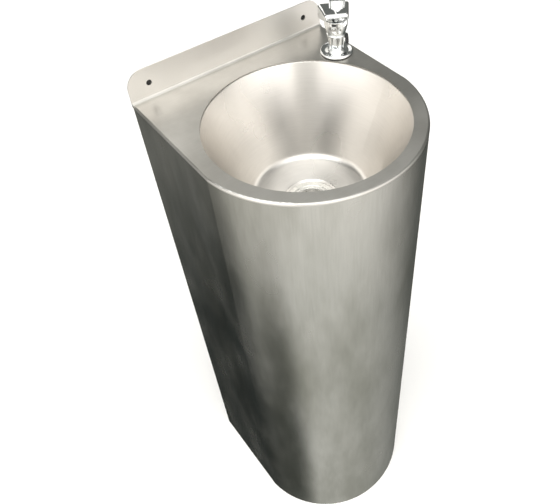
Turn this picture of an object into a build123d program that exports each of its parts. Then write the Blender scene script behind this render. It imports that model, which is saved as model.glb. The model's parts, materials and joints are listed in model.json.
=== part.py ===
from build123d import *
import math
import os

# Back-to-wall pedestal drinking fountain: a stainless casing with a rounded nose, a folded deck with
# a rear upstand, a pressed bowl with a strainer waste and bottle trap, and a push-button bubbler tap
# fed through a quarter-turn stop valve.  Millimetres, +Z up, -Y to the front.  The origin is at floor
# level, half way between the wall and the nose, on the centre line.

os.makedirs("parts", exist_ok=True)

# ---------------------------------------------------------------- driving dimensions
# Pedestal and deck
width = 315.0
depth = 330.0
deck_height = 900.0
straight_side = 192.0        # wall to the end of each flat side
nose_blend = 16.0            # bend between a flat side and the rounded nose
sheet = 1.5
side_land = 22.0             # deck left between the bowl and each side
front_land = 19.0            # deck left between the bowl and the nose
back_land = 40.0             # deck left between the bowl and the wall
casing_corner = 3.0          # rear vertical bends of the casing
return_width = 27.5          # rear flanges of the casing
window_bottom = 60.0
window_top_band = 66.0
deck_bend = 3.0              # outer radius of the deck's rolled edge
deck_lip = 4.0               # height of the rolled edge down to the seam
lap_depth = 20.0             # lap skirt that locates the deck in the casing
lap_clearance = 0.2
fold_radius = 4.5            # inside radius of the fold up to the upstand
upstand_height = 44.4
upstand_corner = 24.0
wall_hole_radius = 4.0
wall_hole_inset = 30.5       # hole centre to the side of the upstand
wall_hole_rise = 22.0        # hole centre above the deck

# Bowl and waste
bowl_sheet = 1.2
bowl_flange = 6.0
bowl_depth = 133.0           # deck to the foot of the bowl's wall
bowl_floor_radius = 84.0
bowl_floor_fillet = 12.0
bowl_fall = 7.0              # fall of the floor towards the waste
recess_depth = 2.5
recess_gap = 2.5             # round the waste flange, inside the recess
waste_flange_radius = 35.0
waste_flange_sheet = 1.5
gasket_upper = 1.0
gasket_lower = 2.0
gasket_bore = 28.25
waste_hole_radius = 27.0
dish_radius = 23.5
dish_floor_radius = 18.0
dish_depth = 8.0
strainer_holes = 8
strainer_hole_radius = 2.5
strainer_pitch_radius = 12.5
waste_tail_radius = 20.95    # 1 1/4 inch pipe thread
waste_tail_bore = 17.5
waste_body_depth = 50.0
waste_neck_depth = 16.7      # top of the waste body to its bridge
waste_wall = 3.0
waste_cup_wall = 2.5
waste_screw_radius = 2.9
waste_slot_width = 1.45
fit_clearance = 0.1          # radial, between fixed pieces that slide together

# Bottle trap
pipe_radius = 16.0           # 32 mm waste pipe
pipe_wall = 2.0
outlet_free_end = 20.0       # plain end for the building's socket, up to the stop bead
stop_bead = 1.0
seal_thickness = 3.0
trap_drop = 35.0             # end of the waste tail to the outlet's centre line
chamber_radius = 26.0
chamber_wall = 2.5
socket_radius = 20.5
socket_length = 52.0
cup_radius = 26.0
cup_wall = 3.0
cup_length = 60.0
nut_radius = 26.0
nut_ribs = 12
nut_rib_radius = 1.6
nut_lip = 5.0
nut_height = 26.0
grip_gap = 1.0               # below the rim of the cup's ribbed collar

# Service bracket and feet
bracket_sheet = 2.0
bracket_standoff = 27.0      # wall to the front face of the bracket's web
bracket_height = 64.0
bracket_foot = 18.0
bracket_inset = 5.0          # casing side to the outside of a foot
bracket_screw_radius = 2.4
bracket_screw_pitch = 40.0
grommet_room = 3.0           # pipe to the edge of its hole in the bracket
grommet_lip = 2.0
foot_angle = 40.0            # leg length of the floor brackets
foot_thickness = 3.0
foot_length = 100.0
foot_from_wall = 55.0
foot_hole_radius = 4.5
foot_hole_inset = 20.0

# Bubbler
facing_deg = 30.0            # turned from straight ahead towards the left
bubbler_inset = 30.0         # axis to the side of the deck
bubbler_bowl_gap = 0.5       # flange to the bowl's edge
flange_radius = 24.0
flange_gasket = 1.0
flange_top = 7.0
shank_radius = 9.0
shank_length = 50.0
shank_bore = 3.5
stem_shoulder = 1.0          # foot of the stem beyond the shank
stem_collar = 1.0            # flange's collar beyond the foot of the stem
stem_head_radius = 12.4
stem_lobes = 6
groove_foot = 0.4
groove_head = 2.2
lip_height = 28.0
lip_radius = 13.6
cup_foot = 31.0
cup_top = 52.0
cup_belly = 16.3
scallop_radius = 5.0
scallop_reach = 17.4         # centre of a scallop from the bubbler's axis
scallop_height = 41.0
scallop_turns = (-110.0, -77.0)
slot_width = 7.0
slot_height = 2.6
slot_depth = 10.0
column_back = 8.0            # push-button axis behind the bubbler's axis
column_right = 3.0           # and to the right of it
column_radius = 11.5
column_thread = 9.6
column_top = 74.0
column_taper = 4.0
cartridge_bore = 8.2
cartridge_foot = 38.0
cartridge_top = 58.0
plenum_foot = 34.0
seat_height = 45.0
seat_thickness = 2.0
seat_bore = 2.6
gallery_radius = 5.0
gallery_height = 5.0
stem_radius = 1.5
stem_head = 1.2              # thickness of the head that holds the washer
valve_washer_thickness = 3.0
stem_grip = 1.8              # stem held inside the button, above its flange
running = 0.05               # radial running clearance of stems, spindles and the ball
guard_top = 70.0
guard_sheet = 1.8
guard_back_width = 43.0
guard_front_width = 32.0
guard_back = 9.0
guard_front = 23.0
guard_corner = 5.0
guard_shoulder = 3.0
guard_skirt = 19.0
guard_skirt_front = 11.0
guard_lip = 4.0
guard_lip_run = 6.0          # front edge to where the lip meets the skirts
guard_rib_width = 3.0
guard_rib_rise = 0.9
guard_shift = 2.0            # guard's centre line, to the left of the axis
collar_radius = 11.0
collar_height = 7.5
collar_chamfer = 1.5
collar_grips = 18
collar_grip_radius = 0.9
wiper_radius = 9.4           # black wiper ring in the top of the collar
wiper_thickness = 1.5
button_radius = 6.5
button_gap = 0.3             # free gap round moving pieces
button_top = 84.5
button_dome = 2.0
button_flange = 2.8
button_underside = 71.5
button_travel = 4.0
spring_wire = 0.5
spring_radius = 5.0
spring_turns = 5
nozzle_radius = 6.5
nozzle_bore = 3.5
nozzle_stand = 4.0           # nozzle proud of its socket
nozzle_counterbore = 5.0
nozzle_edge = 0.8
nozzle_tilt = 50.0
nozzle_right = 6.0
nozzle_front = 9.5
nozzle_rise = 51.5
knob_rise = 20.0
knob_radius = 7.5
knob_thickness = 3.8
knob_start = 12.9
knob_boss = 4.5
knob_boss_end = 12.6
knob_flutes = 12
knob_flute_radius = 1.1
knob_slot = 1.4
spindle_radius = 2.0

# Supply
tube_radius = 5.0
tube_wall = 1.0
tube_socket = 12.0
tube_bend = 40.0
tube_straight = 55.0         # straight run out of each joint
tube_gap = 1.0               # end of the tube to the foot of its socket
olive_height = 4.0
olive_radius = 7.4
olive_chamfer = 1.0
compression_hex = 22.0       # across flats
compression_height = 20.0
shank_hex = 24.0
shank_nut_height = 6.0
washer_thickness = 2.0
washer_radius = 14.0
valve_right = 85.0           # stop valve's axis from the centre line
inlet_radius = 10.4          # 1/2 inch pipe thread
inlet_bore = 6.0
inlet_free_end = 17.5        # threaded end, up to its relief groove
relief_groove = 0.8
valve_body_radius = 13.0
valve_body_chamfer = 1.5
valve_hex = 28.0             # across flats
valve_hex_depth = 6.0
valve_front = 22.0           # ball centre to the front of the valve body
ball_from_web = 30.0
ball_radius = 8.0
ball_port = 3.5
ball_slot_width = 3.0
ball_slot_depth = 3.0
seat_ring_end = 2.0          # past the ball, towards the inlet
seat_ring_bore = 4.5
valve_outlet_radius = 9.0
valve_outlet_rise = 28.0
valve_spindle_radius = 4.0
spindle_collar = 2.0
spindle_collar_depth = 0.8
spindle_shoulder = 1.0       # ball to the foot of the spindle's collar
spindle_blade = 3.6
blade_width = 2.8
gland_depth = 8.0
gland_hex = 20.0
gland_head = 2.0
lever_gap = 2.0              # gland to the lever's hub
lever_hub = 7.5
lever_hub_depth = 5.0
lever_length = 46.0
lever_sheet = 4.0
lever_width_at_hub = 12.0
lever_width_at_end = 8.0
lever_behind = 5.0
lever_corner = 3.5
handle_screw_radius = 1.5
handle_screw_head = 3.4
handle_screw_head_depth = 2.2
handle_screw_length = 9.0

# ---------------------------------------------------------------- worked-out places
half_width = width / 2
front_y = -depth / 2
wall_y = depth / 2
nose_y = wall_y - straight_side
seam_z = deck_height - deck_lip
fold_y = wall_y - fold_radius - sheet
deck_underside = deck_height - sheet

bowl_radius = min(half_width - side_land, (depth - front_land - back_land) / 2)
bowl_y = front_y + front_land + bowl_radius
bowl_wall_foot = deck_height - bowl_depth
bowl_floor_z = bowl_wall_foot - bowl_fall
recess_z = bowl_floor_z - recess_depth
recess_radius = waste_flange_radius + recess_gap

facing = math.radians(facing_deg)
bubbler_x = half_width - bubbler_inset
bubbler_reach = bowl_radius + bubbler_bowl_gap + flange_radius
bubbler_y = bowl_y + math.sqrt(bubbler_reach**2 - bubbler_x**2)

gasket_z = recess_z + gasket_upper
strainer_top_z = gasket_z + waste_flange_sheet
waste_body_top_z = recess_z - bowl_sheet - gasket_lower
waste_tail_z = waste_body_top_z - waste_body_depth
waste_neck_z = waste_body_top_z - waste_neck_depth
service_z = waste_tail_z - trap_drop
chamber_top_z = service_z + socket_radius + chamber_wall / 2
chamber_foot_z = service_z - socket_radius - 2 * cup_length / 5
cup_top_z = service_z - socket_radius - chamber_wall
cup_foot_z = chamber_foot_z - cup_length
web_y = wall_y - bracket_standoff
screw_x = half_width - bracket_inset - bracket_foot / 2

bowl_axis = Axis((0, bowl_y, 0), (0, 0, 1))
bowl_section = Plane(origin=(0, bowl_y, 0), x_dir=(1, 0, 0), z_dir=(0, -1, 0))
outlet_plane = Plane(origin=(0, bowl_y, service_z), x_dir=(1, 0, 0), z_dir=(0, 1, 0))
to_right = Vector(math.cos(facing), -math.sin(facing), 0)
to_front = Vector(-math.sin(facing), -math.cos(facing), 0)
bubbler_origin = Vector(bubbler_x, bubbler_y, deck_height)
bubbler = Plane(origin=bubbler_origin, x_dir=to_right, z_dir=(0, 0, 1))
bubbler_section = Plane(origin=bubbler_origin, x_dir=to_right, z_dir=to_front)
bubbler_axis = Axis(bubbler_origin, (0, 0, 1))
stem_foot_radius = shank_radius + stem_shoulder
column_origin = bubbler_origin - to_front * column_back + to_right * column_right
column = Plane(origin=column_origin, x_dir=to_right, z_dir=(0, 0, 1))
column_section = Plane(origin=column_origin, x_dir=to_right, z_dir=to_front)
column_axis = Axis(column_origin, (0, 0, 1))


def around_bowl(height):
    """A level plane at this height, centred on the bowl."""
    return Plane(origin=(0, bowl_y, height))


def plan_face(back_y, inset=0.0):
    """The pedestal's plan, flat at back_y and rounded at the nose, set in from the outer face."""
    with BuildSketch() as plan:
        with BuildLine():
            Polyline(
                (-half_width, nose_y),
                (-half_width, back_y),
                (half_width, back_y),
                (half_width, nose_y),
            )
            ThreePointArc((half_width, nose_y), (0, front_y), (-half_width, nose_y))
        make_face()
        fillet(vertices().group_by(Axis.Y)[0], radius=nose_blend)
        if inset:
            offset(amount=-inset)
    return plan.face()


def lobed_outline(plane, crest, groove):
    """Equal outward arcs that meet in V grooves, one groove facing the front."""
    valley = crest - groove
    step = 360 / stem_lobes
    with BuildSketch(plane) as outline:
        with BuildLine():
            for lobe in range(stem_lobes):
                start = -90 + lobe * step
                ThreePointArc(
                    Vector(valley, 0).rotate(Axis.Z, start),
                    Vector(crest, 0).rotate(Axis.Z, start + step / 2),
                    Vector(valley, 0).rotate(Axis.Z, start + step),
                )
        make_face()
    return outline.sketch


def ribbed_nut(plane, bore, lip_bore):
    """Hand-tightened plastic union nut, its inward lip at the plane."""
    with BuildPart() as nut:
        with BuildSketch(plane):
            Circle(nut_radius - nut_rib_radius / 2)
            with PolarLocations(nut_radius - nut_rib_radius, nut_ribs):
                Circle(nut_rib_radius)
            Circle(lip_bore, mode=Mode.SUBTRACT)
        extrude(amount=nut_height)
        with BuildSketch(plane.offset(nut_lip)):
            Circle(bore)
        extrude(amount=nut_height - nut_lip, mode=Mode.SUBTRACT)
    return nut.part


def compression_nut(plane, thread):
    """Hexagon nut on a male thread, its lip at the plane closing round the tube."""
    with BuildPart() as nut:
        with BuildSketch(plane):
            RegularPolygon(compression_hex / 2, 6, major_radius=False)
            Circle(tube_radius + 2 * fit_clearance, mode=Mode.SUBTRACT)
        extrude(amount=compression_height)
        with BuildSketch(plane.offset(olive_height)):
            Circle(thread + fit_clearance)
        extrude(amount=compression_height - olive_height, mode=Mode.SUBTRACT)
    return nut.part


def compression_olive(plane):
    """Soft ring squeezed between a male thread's end and its nut."""
    with BuildPart() as olive:
        with BuildSketch(plane):
            Circle(olive_radius)
            Circle(tube_radius + fit_clearance, mode=Mode.SUBTRACT)
        extrude(amount=olive_height)
        outer_edges = edges().filter_by(GeomType.CIRCLE).group_by(SortBy.RADIUS)[-1]
        chamfer(outer_edges, length=olive_chamfer)
    return olive.part


# ---------------------------------------------------------------- shell
# Casing: one wrapped sheet, with a service window between its rear flanges.
with BuildPart() as pedestal_casing:
    with BuildSketch():
        add(plan_face(wall_y))
        rear_corners = vertices().group_by(Axis.Y)[-1]
        fillet(rear_corners, radius=casing_corner)
        offset(amount=-sheet, mode=Mode.SUBTRACT)
    extrude(amount=seam_z)
    window_height = seam_z - window_top_band - window_bottom
    with BuildSketch(Plane.XZ.offset(-wall_y)):
        with Locations((0, window_bottom + window_height / 2)):
            Rectangle(width - 2 * return_width, window_height)
    extrude(amount=sheet, mode=Mode.SUBTRACT)
    with BuildSketch(Plane.XZ.offset(-wall_y)):
        with Locations((0, seam_z + deck_lip / 2)):
            Rectangle(width - 2 * sheet - 2 * lap_clearance, deck_lip)
    extrude(amount=sheet)
    with BuildSketch(Plane.XZ.offset(-wall_y)):
        with Locations((0, service_z)):
            with GridLocations(2 * screw_x, bracket_screw_pitch, 2, 2):
                Circle(bracket_screw_radius)
    extrude(amount=sheet, mode=Mode.SUBTRACT)
pedestal_casing.part.label = "pedestal_casing"
export_step(pedestal_casing.part, "parts/pedestal_casing.step")

# Deck: a shallow rolled-edge cap, folded up at the back, with a lap skirt inside the casing.
with BuildPart() as deck_plate:
    with BuildSketch(Plane.XY.offset(seam_z)):
        add(plan_face(fold_y))
    extrude(amount=deck_lip)
    top_rim = faces().sort_by(Axis.Z)[-1].edges()
    fillet(top_rim.sort_by(Axis.Y)[:-1], radius=deck_bend)
    cap_base = faces().sort_by(Axis.Z)[0]
    cap_back = faces().sort_by(Axis.Y)[-1]
    offset(amount=-sheet, openings=[cap_base, cap_back])
    with BuildSketch(Plane.YZ.offset(-half_width)):
        with BuildLine():
            Polyline(
                (wall_y, deck_height + fold_radius),
                (wall_y, deck_height + upstand_height),
                (wall_y - sheet, deck_height + upstand_height),
                (wall_y - sheet, deck_height + fold_radius),
            )
            CenterArc((fold_y, deck_height + fold_radius), fold_radius, 270, 90)
            CenterArc((fold_y, deck_height + fold_radius), fold_radius + sheet, 270, 90)
            Line((fold_y, deck_height), (fold_y, deck_underside))
        make_face()
    extrude(amount=width)
    with BuildSketch(Plane.YZ.offset(-half_width)) as fold_cheek:
        with BuildLine():
            Polyline(
                (fold_y, deck_underside),
                (fold_y, seam_z),
                (wall_y, seam_z),
                (wall_y, deck_height + fold_radius),
            )
            CenterArc((fold_y, deck_height + fold_radius), fold_radius + sheet, 270, 90)
        make_face()
    extrude(amount=sheet)
    extrude(fold_cheek.sketch.moved(Location((width - sheet, 0, 0))), amount=sheet)
    lap_inset = sheet + lap_clearance
    with BuildSketch(Plane.XY.offset(seam_z - lap_depth)):
        add(plan_face(fold_y, lap_inset))
        add(plan_face(wall_y, lap_inset + sheet), mode=Mode.SUBTRACT)
    extrude(amount=lap_depth + deck_lip - sheet / 2)
    with BuildSketch(around_bowl(seam_z)):
        Circle(bowl_radius)
    extrude(amount=deck_lip, mode=Mode.SUBTRACT)
    with BuildSketch(bubbler):
        Circle(shank_radius + 5 * fit_clearance)
    extrude(amount=-deck_lip, mode=Mode.SUBTRACT)
    upper_corners = edges().filter_by(Axis.Y).group_by(Axis.Z)[-1]
    fillet(upper_corners, radius=upstand_corner)
    with BuildSketch(Plane.XZ.offset(-wall_y)):
        with GridLocations(width - 2 * wall_hole_inset, 1, 2, 1):
            with Locations((0, deck_height + wall_hole_rise)):
                Circle(wall_hole_radius)
    extrude(amount=sheet, mode=Mode.SUBTRACT)
deck_plate.part.label = "deck_plate"
export_step(deck_plate.part, "parts/deck_plate.step")

# Bowl: a straight-tapered pressing under the deck, falling to a recess for the waste.
with BuildPart() as bowl:
    with BuildSketch(bowl_section):
        with BuildLine():
            inner_face = FilletPolyline(
                (waste_hole_radius, recess_z),
                (recess_radius, recess_z),
                (recess_radius + recess_depth, bowl_floor_z),
                (bowl_floor_radius, bowl_wall_foot),
                (bowl_radius, deck_underside),
                (bowl_radius + bowl_flange, deck_underside),
                radius=[1.0, 2.0, bowl_floor_fillet, 2.0],
            )
            offset(inner_face, amount=bowl_sheet, side=Side.RIGHT)
        make_face()
    revolve(axis=bowl_axis)
bowl.part.label = "bowl"
export_step(bowl.part, "parts/bowl.step")

# Floor brackets: angles welded inside the casing, each bolted down through two holes.
foot_y = wall_y - foot_from_wall - foot_length / 2
for side_name, side in (("left", -1), ("right", 1)):
    inner_side = side * (half_width - sheet)
    with BuildPart() as floor_bracket:
        with BuildSketch(Plane.XZ.offset(-foot_y - foot_length / 2)):
            with BuildLine():
                FilletPolyline(
                    (inner_side, foot_angle),
                    (inner_side, 0),
                    (inner_side - side * foot_angle, 0),
                    (inner_side - side * foot_angle, foot_thickness),
                    (inner_side - side * foot_thickness, foot_thickness),
                    (inner_side - side * foot_thickness, foot_angle),
                    radius=[0, 0, 0, foot_thickness],
                )
                Line((inner_side - side * foot_thickness, foot_angle), (inner_side, foot_angle))
            make_face()
        extrude(amount=foot_length)
        hole_x = side * (half_width - sheet - foot_angle + foot_hole_inset)
        with BuildSketch():
            with Locations((hole_x, foot_y)):
                with GridLocations(1, foot_length - 2 * foot_hole_inset, 1, 2):
                    Circle(foot_hole_radius)
        extrude(amount=foot_thickness, mode=Mode.SUBTRACT)
    floor_bracket.part.label = "floor_bracket_" + side_name
    export_step(floor_bracket.part, "parts/floor_bracket_" + side_name + ".step")

# ---------------------------------------------------------------- waste
# Strainer: a dished flange with a ring of holes, held down by one screw.
with BuildPart() as waste_strainer:
    with BuildSketch(bowl_section):
        with BuildLine():
            upper_face = FilletPolyline(
                (waste_screw_radius + fit_clearance, strainer_top_z - dish_depth),
                (dish_floor_radius, strainer_top_z - dish_depth),
                (dish_radius, strainer_top_z),
                (waste_flange_radius, strainer_top_z),
                radius=[2.0, 2.0],
            )
            offset(upper_face, amount=waste_flange_sheet, side=Side.RIGHT)
        make_face()
    revolve(axis=bowl_axis)
    with BuildSketch(around_bowl(strainer_top_z - dish_depth)):
        with PolarLocations(strainer_pitch_radius, strainer_holes):
            Circle(strainer_hole_radius)
    extrude(amount=-waste_flange_sheet, mode=Mode.SUBTRACT)
waste_strainer.part.label = "waste_strainer"
export_step(waste_strainer.part, "parts/waste_strainer.step")

with BuildPart() as waste_gasket_upper:
    with BuildSketch(around_bowl(recess_z)):
        Circle(waste_flange_radius - gasket_upper)
        Circle(gasket_bore, mode=Mode.SUBTRACT)
    extrude(amount=gasket_upper)
waste_gasket_upper.part.label = "waste_gasket_upper"
export_step(waste_gasket_upper.part, "parts/waste_gasket_upper.step")

with BuildPart() as waste_gasket_lower:
    with BuildSketch(around_bowl(waste_body_top_z)):
        Circle(waste_flange_radius)
        Circle(gasket_bore, mode=Mode.SUBTRACT)
    extrude(amount=gasket_lower)
waste_gasket_lower.part.label = "waste_gasket_lower"
export_step(waste_gasket_lower.part, "parts/waste_gasket_lower.step")

# Waste body: a plastic cup with a threaded tail, and a bridge that takes the screw.
waste_shoulder_z = waste_neck_z - (waste_hole_radius - waste_tail_bore)
with BuildPart() as waste_body:
    with BuildSketch(bowl_section):
        Polygon(
            (waste_tail_bore, waste_tail_z),
            (waste_tail_radius, waste_tail_z),
            (waste_tail_radius, waste_shoulder_z - waste_cup_wall),
            (waste_hole_radius + waste_cup_wall, waste_neck_z - waste_cup_wall),
            (waste_hole_radius + waste_cup_wall, waste_body_top_z - waste_wall),
            (waste_flange_radius, waste_body_top_z - waste_wall),
            (waste_flange_radius, waste_body_top_z),
            (waste_hole_radius, waste_body_top_z),
            (waste_hole_radius, waste_neck_z),
            (waste_tail_bore, waste_shoulder_z),
            align=None,
        )
    revolve(axis=bowl_axis)
    with BuildSketch(around_bowl(waste_neck_z)):
        Rectangle(2 * waste_hole_radius, waste_wall)
        Circle(2 * waste_screw_radius)
    extrude(amount=waste_wall)
    with BuildSketch(around_bowl(waste_neck_z)):
        Circle(waste_screw_radius + fit_clearance)
    extrude(amount=waste_wall, mode=Mode.SUBTRACT)
waste_body.part.label = "waste_body"
export_step(waste_body.part, "parts/waste_body.step")

screw_seat_z = strainer_top_z - dish_depth
with BuildPart() as waste_screw:
    with BuildSketch(around_bowl(screw_seat_z)):
        Circle(2 * waste_screw_radius)
    extrude(amount=waste_screw_radius)
    fillet(edges().group_by(Axis.Z)[-1], radius=waste_screw_radius / 2)
    with BuildSketch(around_bowl(screw_seat_z)):
        Circle(waste_screw_radius)
    extrude(amount=waste_neck_z - screw_seat_z)
    with BuildSketch(around_bowl(screw_seat_z + waste_screw_radius)):
        Rectangle(4 * waste_screw_radius, waste_slot_width)
    extrude(amount=-waste_slot_width, mode=Mode.SUBTRACT)
waste_screw.part.label = "waste_screw"
export_step(waste_screw.part, "parts/waste_screw.step")

# ---------------------------------------------------------------- bottle trap
collar_z = waste_tail_z - seal_thickness
dip_tube_z = cup_foot_z + 2 * pipe_radius / 3
with BuildPart() as trap_inlet_seal:
    with BuildSketch(around_bowl(collar_z)):
        Circle(socket_radius)
        Circle(pipe_radius + fit_clearance, mode=Mode.SUBTRACT)
    extrude(amount=seal_thickness)
trap_inlet_seal.part.label = "trap_inlet_seal"
export_step(trap_inlet_seal.part, "parts/trap_inlet_seal.step")

# Trap body: an inlet tube that dips into the cup, an annular chamber and a side socket.
with BuildPart() as trap_body:
    with BuildSketch(around_bowl(chamber_foot_z)):
        Circle(chamber_radius)
    extrude(amount=chamber_top_z - chamber_foot_z)
    fillet(edges().group_by(Axis.Z)[-1], radius=chamber_wall)
    with BuildSketch(outlet_plane):
        Circle(socket_radius)
    extrude(amount=socket_length)
    with BuildSketch(around_bowl(chamber_foot_z)):
        Circle(chamber_radius - chamber_wall)
    extrude(amount=chamber_top_z - chamber_wall - chamber_foot_z, mode=Mode.SUBTRACT)
    with BuildSketch(outlet_plane):
        Circle(pipe_radius - pipe_wall)
    extrude(amount=socket_length, mode=Mode.SUBTRACT)
    with BuildSketch(outlet_plane.offset(chamber_radius + chamber_wall)):
        Circle(pipe_radius + fit_clearance)
    extrude(amount=socket_length, mode=Mode.SUBTRACT)
    with BuildSketch(around_bowl(dip_tube_z)):
        Circle(pipe_radius)
    extrude(amount=collar_z - dip_tube_z)
    with BuildSketch(around_bowl(collar_z)):
        Circle(socket_radius)
    extrude(amount=-seal_thickness)
    with BuildSketch(around_bowl(cup_foot_z)):
        Circle(pipe_radius - pipe_wall)
    extrude(amount=collar_z - cup_foot_z, mode=Mode.SUBTRACT)
trap_body.part.label = "trap_body"
export_step(trap_body.part, "parts/trap_body.step")

inlet_nut_plane = around_bowl(collar_z - seal_thickness - nut_lip)
nut_lip_bore = pipe_radius + 2 * fit_clearance
trap_inlet_nut = ribbed_nut(inlet_nut_plane, waste_tail_radius + fit_clearance, nut_lip_bore)
trap_inlet_nut.label = "trap_inlet_nut"
export_step(trap_inlet_nut, "parts/trap_inlet_nut.step")

with BuildPart() as trap_cup_seal:
    with BuildSketch(around_bowl(chamber_foot_z - seal_thickness)):
        Circle(chamber_radius)
        Circle(chamber_radius - 2 * chamber_wall + fit_clearance, mode=Mode.SUBTRACT)
    extrude(amount=seal_thickness)
trap_cup_seal.part.label = "trap_cup_seal"
export_step(trap_cup_seal.part, "parts/trap_cup_seal.step")

# Trap cup: screws up over the chamber; its ribbed collar is the hand grip.
grip_radius = chamber_radius + cup_wall
with BuildPart() as trap_cup:
    with BuildSketch(bowl_section):
        with BuildLine():
            FilletPolyline(
                (0, cup_foot_z),
                (cup_radius, cup_foot_z),
                (cup_radius, chamber_foot_z - 2 * seal_thickness),
                (grip_radius, chamber_foot_z - seal_thickness),
                (grip_radius, cup_top_z),
                (chamber_radius + fit_clearance, cup_top_z),
                (chamber_radius + fit_clearance, chamber_foot_z - seal_thickness),
                (cup_radius - cup_wall, chamber_foot_z - seal_thickness),
                (cup_radius - cup_wall, cup_foot_z + cup_wall),
                (0, cup_foot_z + cup_wall),
                radius=[4 * cup_wall, 0, 0, 1, 0, 0, 0, 3 * cup_wall],
            )
            Line((0, cup_foot_z + cup_wall), (0, cup_foot_z))
        make_face()
    revolve(axis=bowl_axis)
    with BuildSketch(around_bowl(chamber_foot_z)):
        with PolarLocations(grip_radius, nut_ribs):
            Circle(nut_rib_radius)
        Circle(chamber_radius + fit_clearance, mode=Mode.SUBTRACT)
    extrude(amount=cup_top_z - chamber_foot_z - grip_gap)
trap_cup.part.label = "trap_cup"
export_step(trap_cup.part, "parts/trap_cup.step")

socket_end = outlet_plane.offset(socket_length)
with BuildPart() as trap_outlet_seal:
    with BuildSketch(socket_end):
        Circle(socket_radius)
        Circle(pipe_radius + fit_clearance, mode=Mode.SUBTRACT)
    extrude(amount=seal_thickness)
trap_outlet_seal.part.label = "trap_outlet_seal"
export_step(trap_outlet_seal.part, "parts/trap_outlet_seal.step")

nut_end = socket_end.offset(seal_thickness + nut_lip)
outlet_nut_plane = Plane(origin=nut_end.origin, x_dir=(1, 0, 0), z_dir=(0, -1, 0))
trap_outlet_nut = ribbed_nut(outlet_nut_plane, socket_radius + fit_clearance, nut_lip_bore)
trap_outlet_nut.label = "trap_outlet_nut"
export_step(trap_outlet_nut, "parts/trap_outlet_nut.step")

pipe_start = chamber_radius + chamber_wall
with BuildPart() as outlet_pipe:
    with BuildSketch(outlet_plane.offset(pipe_start)):
        Circle(pipe_radius)
        Circle(pipe_radius - pipe_wall, mode=Mode.SUBTRACT)
    extrude(amount=wall_y - bowl_y - pipe_start)
    with BuildSketch(outlet_plane.offset(wall_y - bowl_y - outlet_free_end)):
        Circle(pipe_radius + stop_bead)
        Circle(pipe_radius - pipe_wall / 2, mode=Mode.SUBTRACT)
    extrude(amount=-2 * stop_bead)
outlet_pipe.part.label = "outlet_pipe"
export_step(outlet_pipe.part, "parts/outlet_pipe.step")

# ---------------------------------------------------------------- service bracket
# A hat-shaped bar across the service window, carrying the waste pipe and the stop valve.
grommet_hole = pipe_radius + grommet_room
with BuildPart() as service_bracket:
    foot_outer_x = half_width - bracket_inset
    foot_inner_x = foot_outer_x - bracket_foot
    foot_face_y = wall_y - sheet
    with BuildSketch(Plane.XY.offset(service_z - bracket_height / 2)):
        with BuildLine():
            bar_line = FilletPolyline(
                (-foot_outer_x, foot_face_y),
                (-foot_inner_x, foot_face_y),
                (-foot_inner_x, web_y + bracket_sheet),
                (foot_inner_x, web_y + bracket_sheet),
                (foot_inner_x, foot_face_y),
                (foot_outer_x, foot_face_y),
                radius=bracket_sheet / 2,
            )
            offset(bar_line, amount=bracket_sheet, side=Side.RIGHT)
        make_face()
    extrude(amount=bracket_height)
    with BuildSketch(Plane.XZ.offset(-wall_y)):
        with Locations((0, service_z)):
            Circle(grommet_hole)
            with GridLocations(2 * screw_x, bracket_screw_pitch, 2, 2):
                Circle(bracket_screw_radius + 2 * fit_clearance)
        with Locations((valve_right, service_z)):
            Circle(inlet_radius + 2 * fit_clearance)
    extrude(amount=2 * bracket_standoff, mode=Mode.SUBTRACT)
service_bracket.part.label = "service_bracket"
export_step(service_bracket.part, "parts/service_bracket.step")

with BuildPart() as bracket_screws:
    head_plane = Plane.XZ.offset(-(wall_y - sheet - bracket_sheet))
    with BuildSketch(head_plane):
        with Locations((0, service_z)):
            with GridLocations(2 * screw_x, bracket_screw_pitch, 2, 2):
                Circle(2 * bracket_screw_radius)
    extrude(amount=bracket_screw_radius)
    fillet(faces().group_by(Axis.Y)[0].edges(), radius=bracket_screw_radius / 2)
    with BuildSketch(head_plane):
        with Locations((0, service_z)):
            with GridLocations(2 * screw_x, bracket_screw_pitch, 2, 2):
                Circle(bracket_screw_radius - fit_clearance)
    extrude(amount=-(sheet + bracket_sheet))
bracket_screws.part.label = "bracket_screws"
export_step(bracket_screws.part, "parts/bracket_screws.step")

with BuildPart() as pipe_grommet:
    with BuildSketch(Plane.XZ.offset(-web_y)):
        with Locations((0, service_z)):
            Circle(grommet_hole - fit_clearance)
    extrude(amount=-bracket_sheet)
    for face_y, side_sign in ((web_y, 1), (web_y + bracket_sheet, -1)):
        with BuildSketch(Plane.XZ.offset(-face_y)):
            with Locations((0, service_z)):
                Circle(grommet_hole + grommet_lip)
        extrude(amount=side_sign * grommet_lip)
    with BuildSketch(Plane.XZ.offset(-web_y + grommet_lip)):
        with Locations((0, service_z)):
            Circle(pipe_radius + fit_clearance)
    extrude(amount=-(bracket_sheet + 2 * grommet_lip), mode=Mode.SUBTRACT)
pipe_grommet.part.label = "pipe_grommet"
export_step(pipe_grommet.part, "parts/pipe_grommet.step")

# ---------------------------------------------------------------- bubbler tap
with BuildPart() as bubbler_gasket:
    with BuildSketch(bubbler):
        Circle(flange_radius - flange_gasket)
        Circle(shank_radius + 2 * fit_clearance, mode=Mode.SUBTRACT)
    extrude(amount=flange_gasket)
bubbler_gasket.part.label = "bubbler_gasket"
export_step(bubbler_gasket.part, "parts/bubbler_gasket.step")

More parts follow.
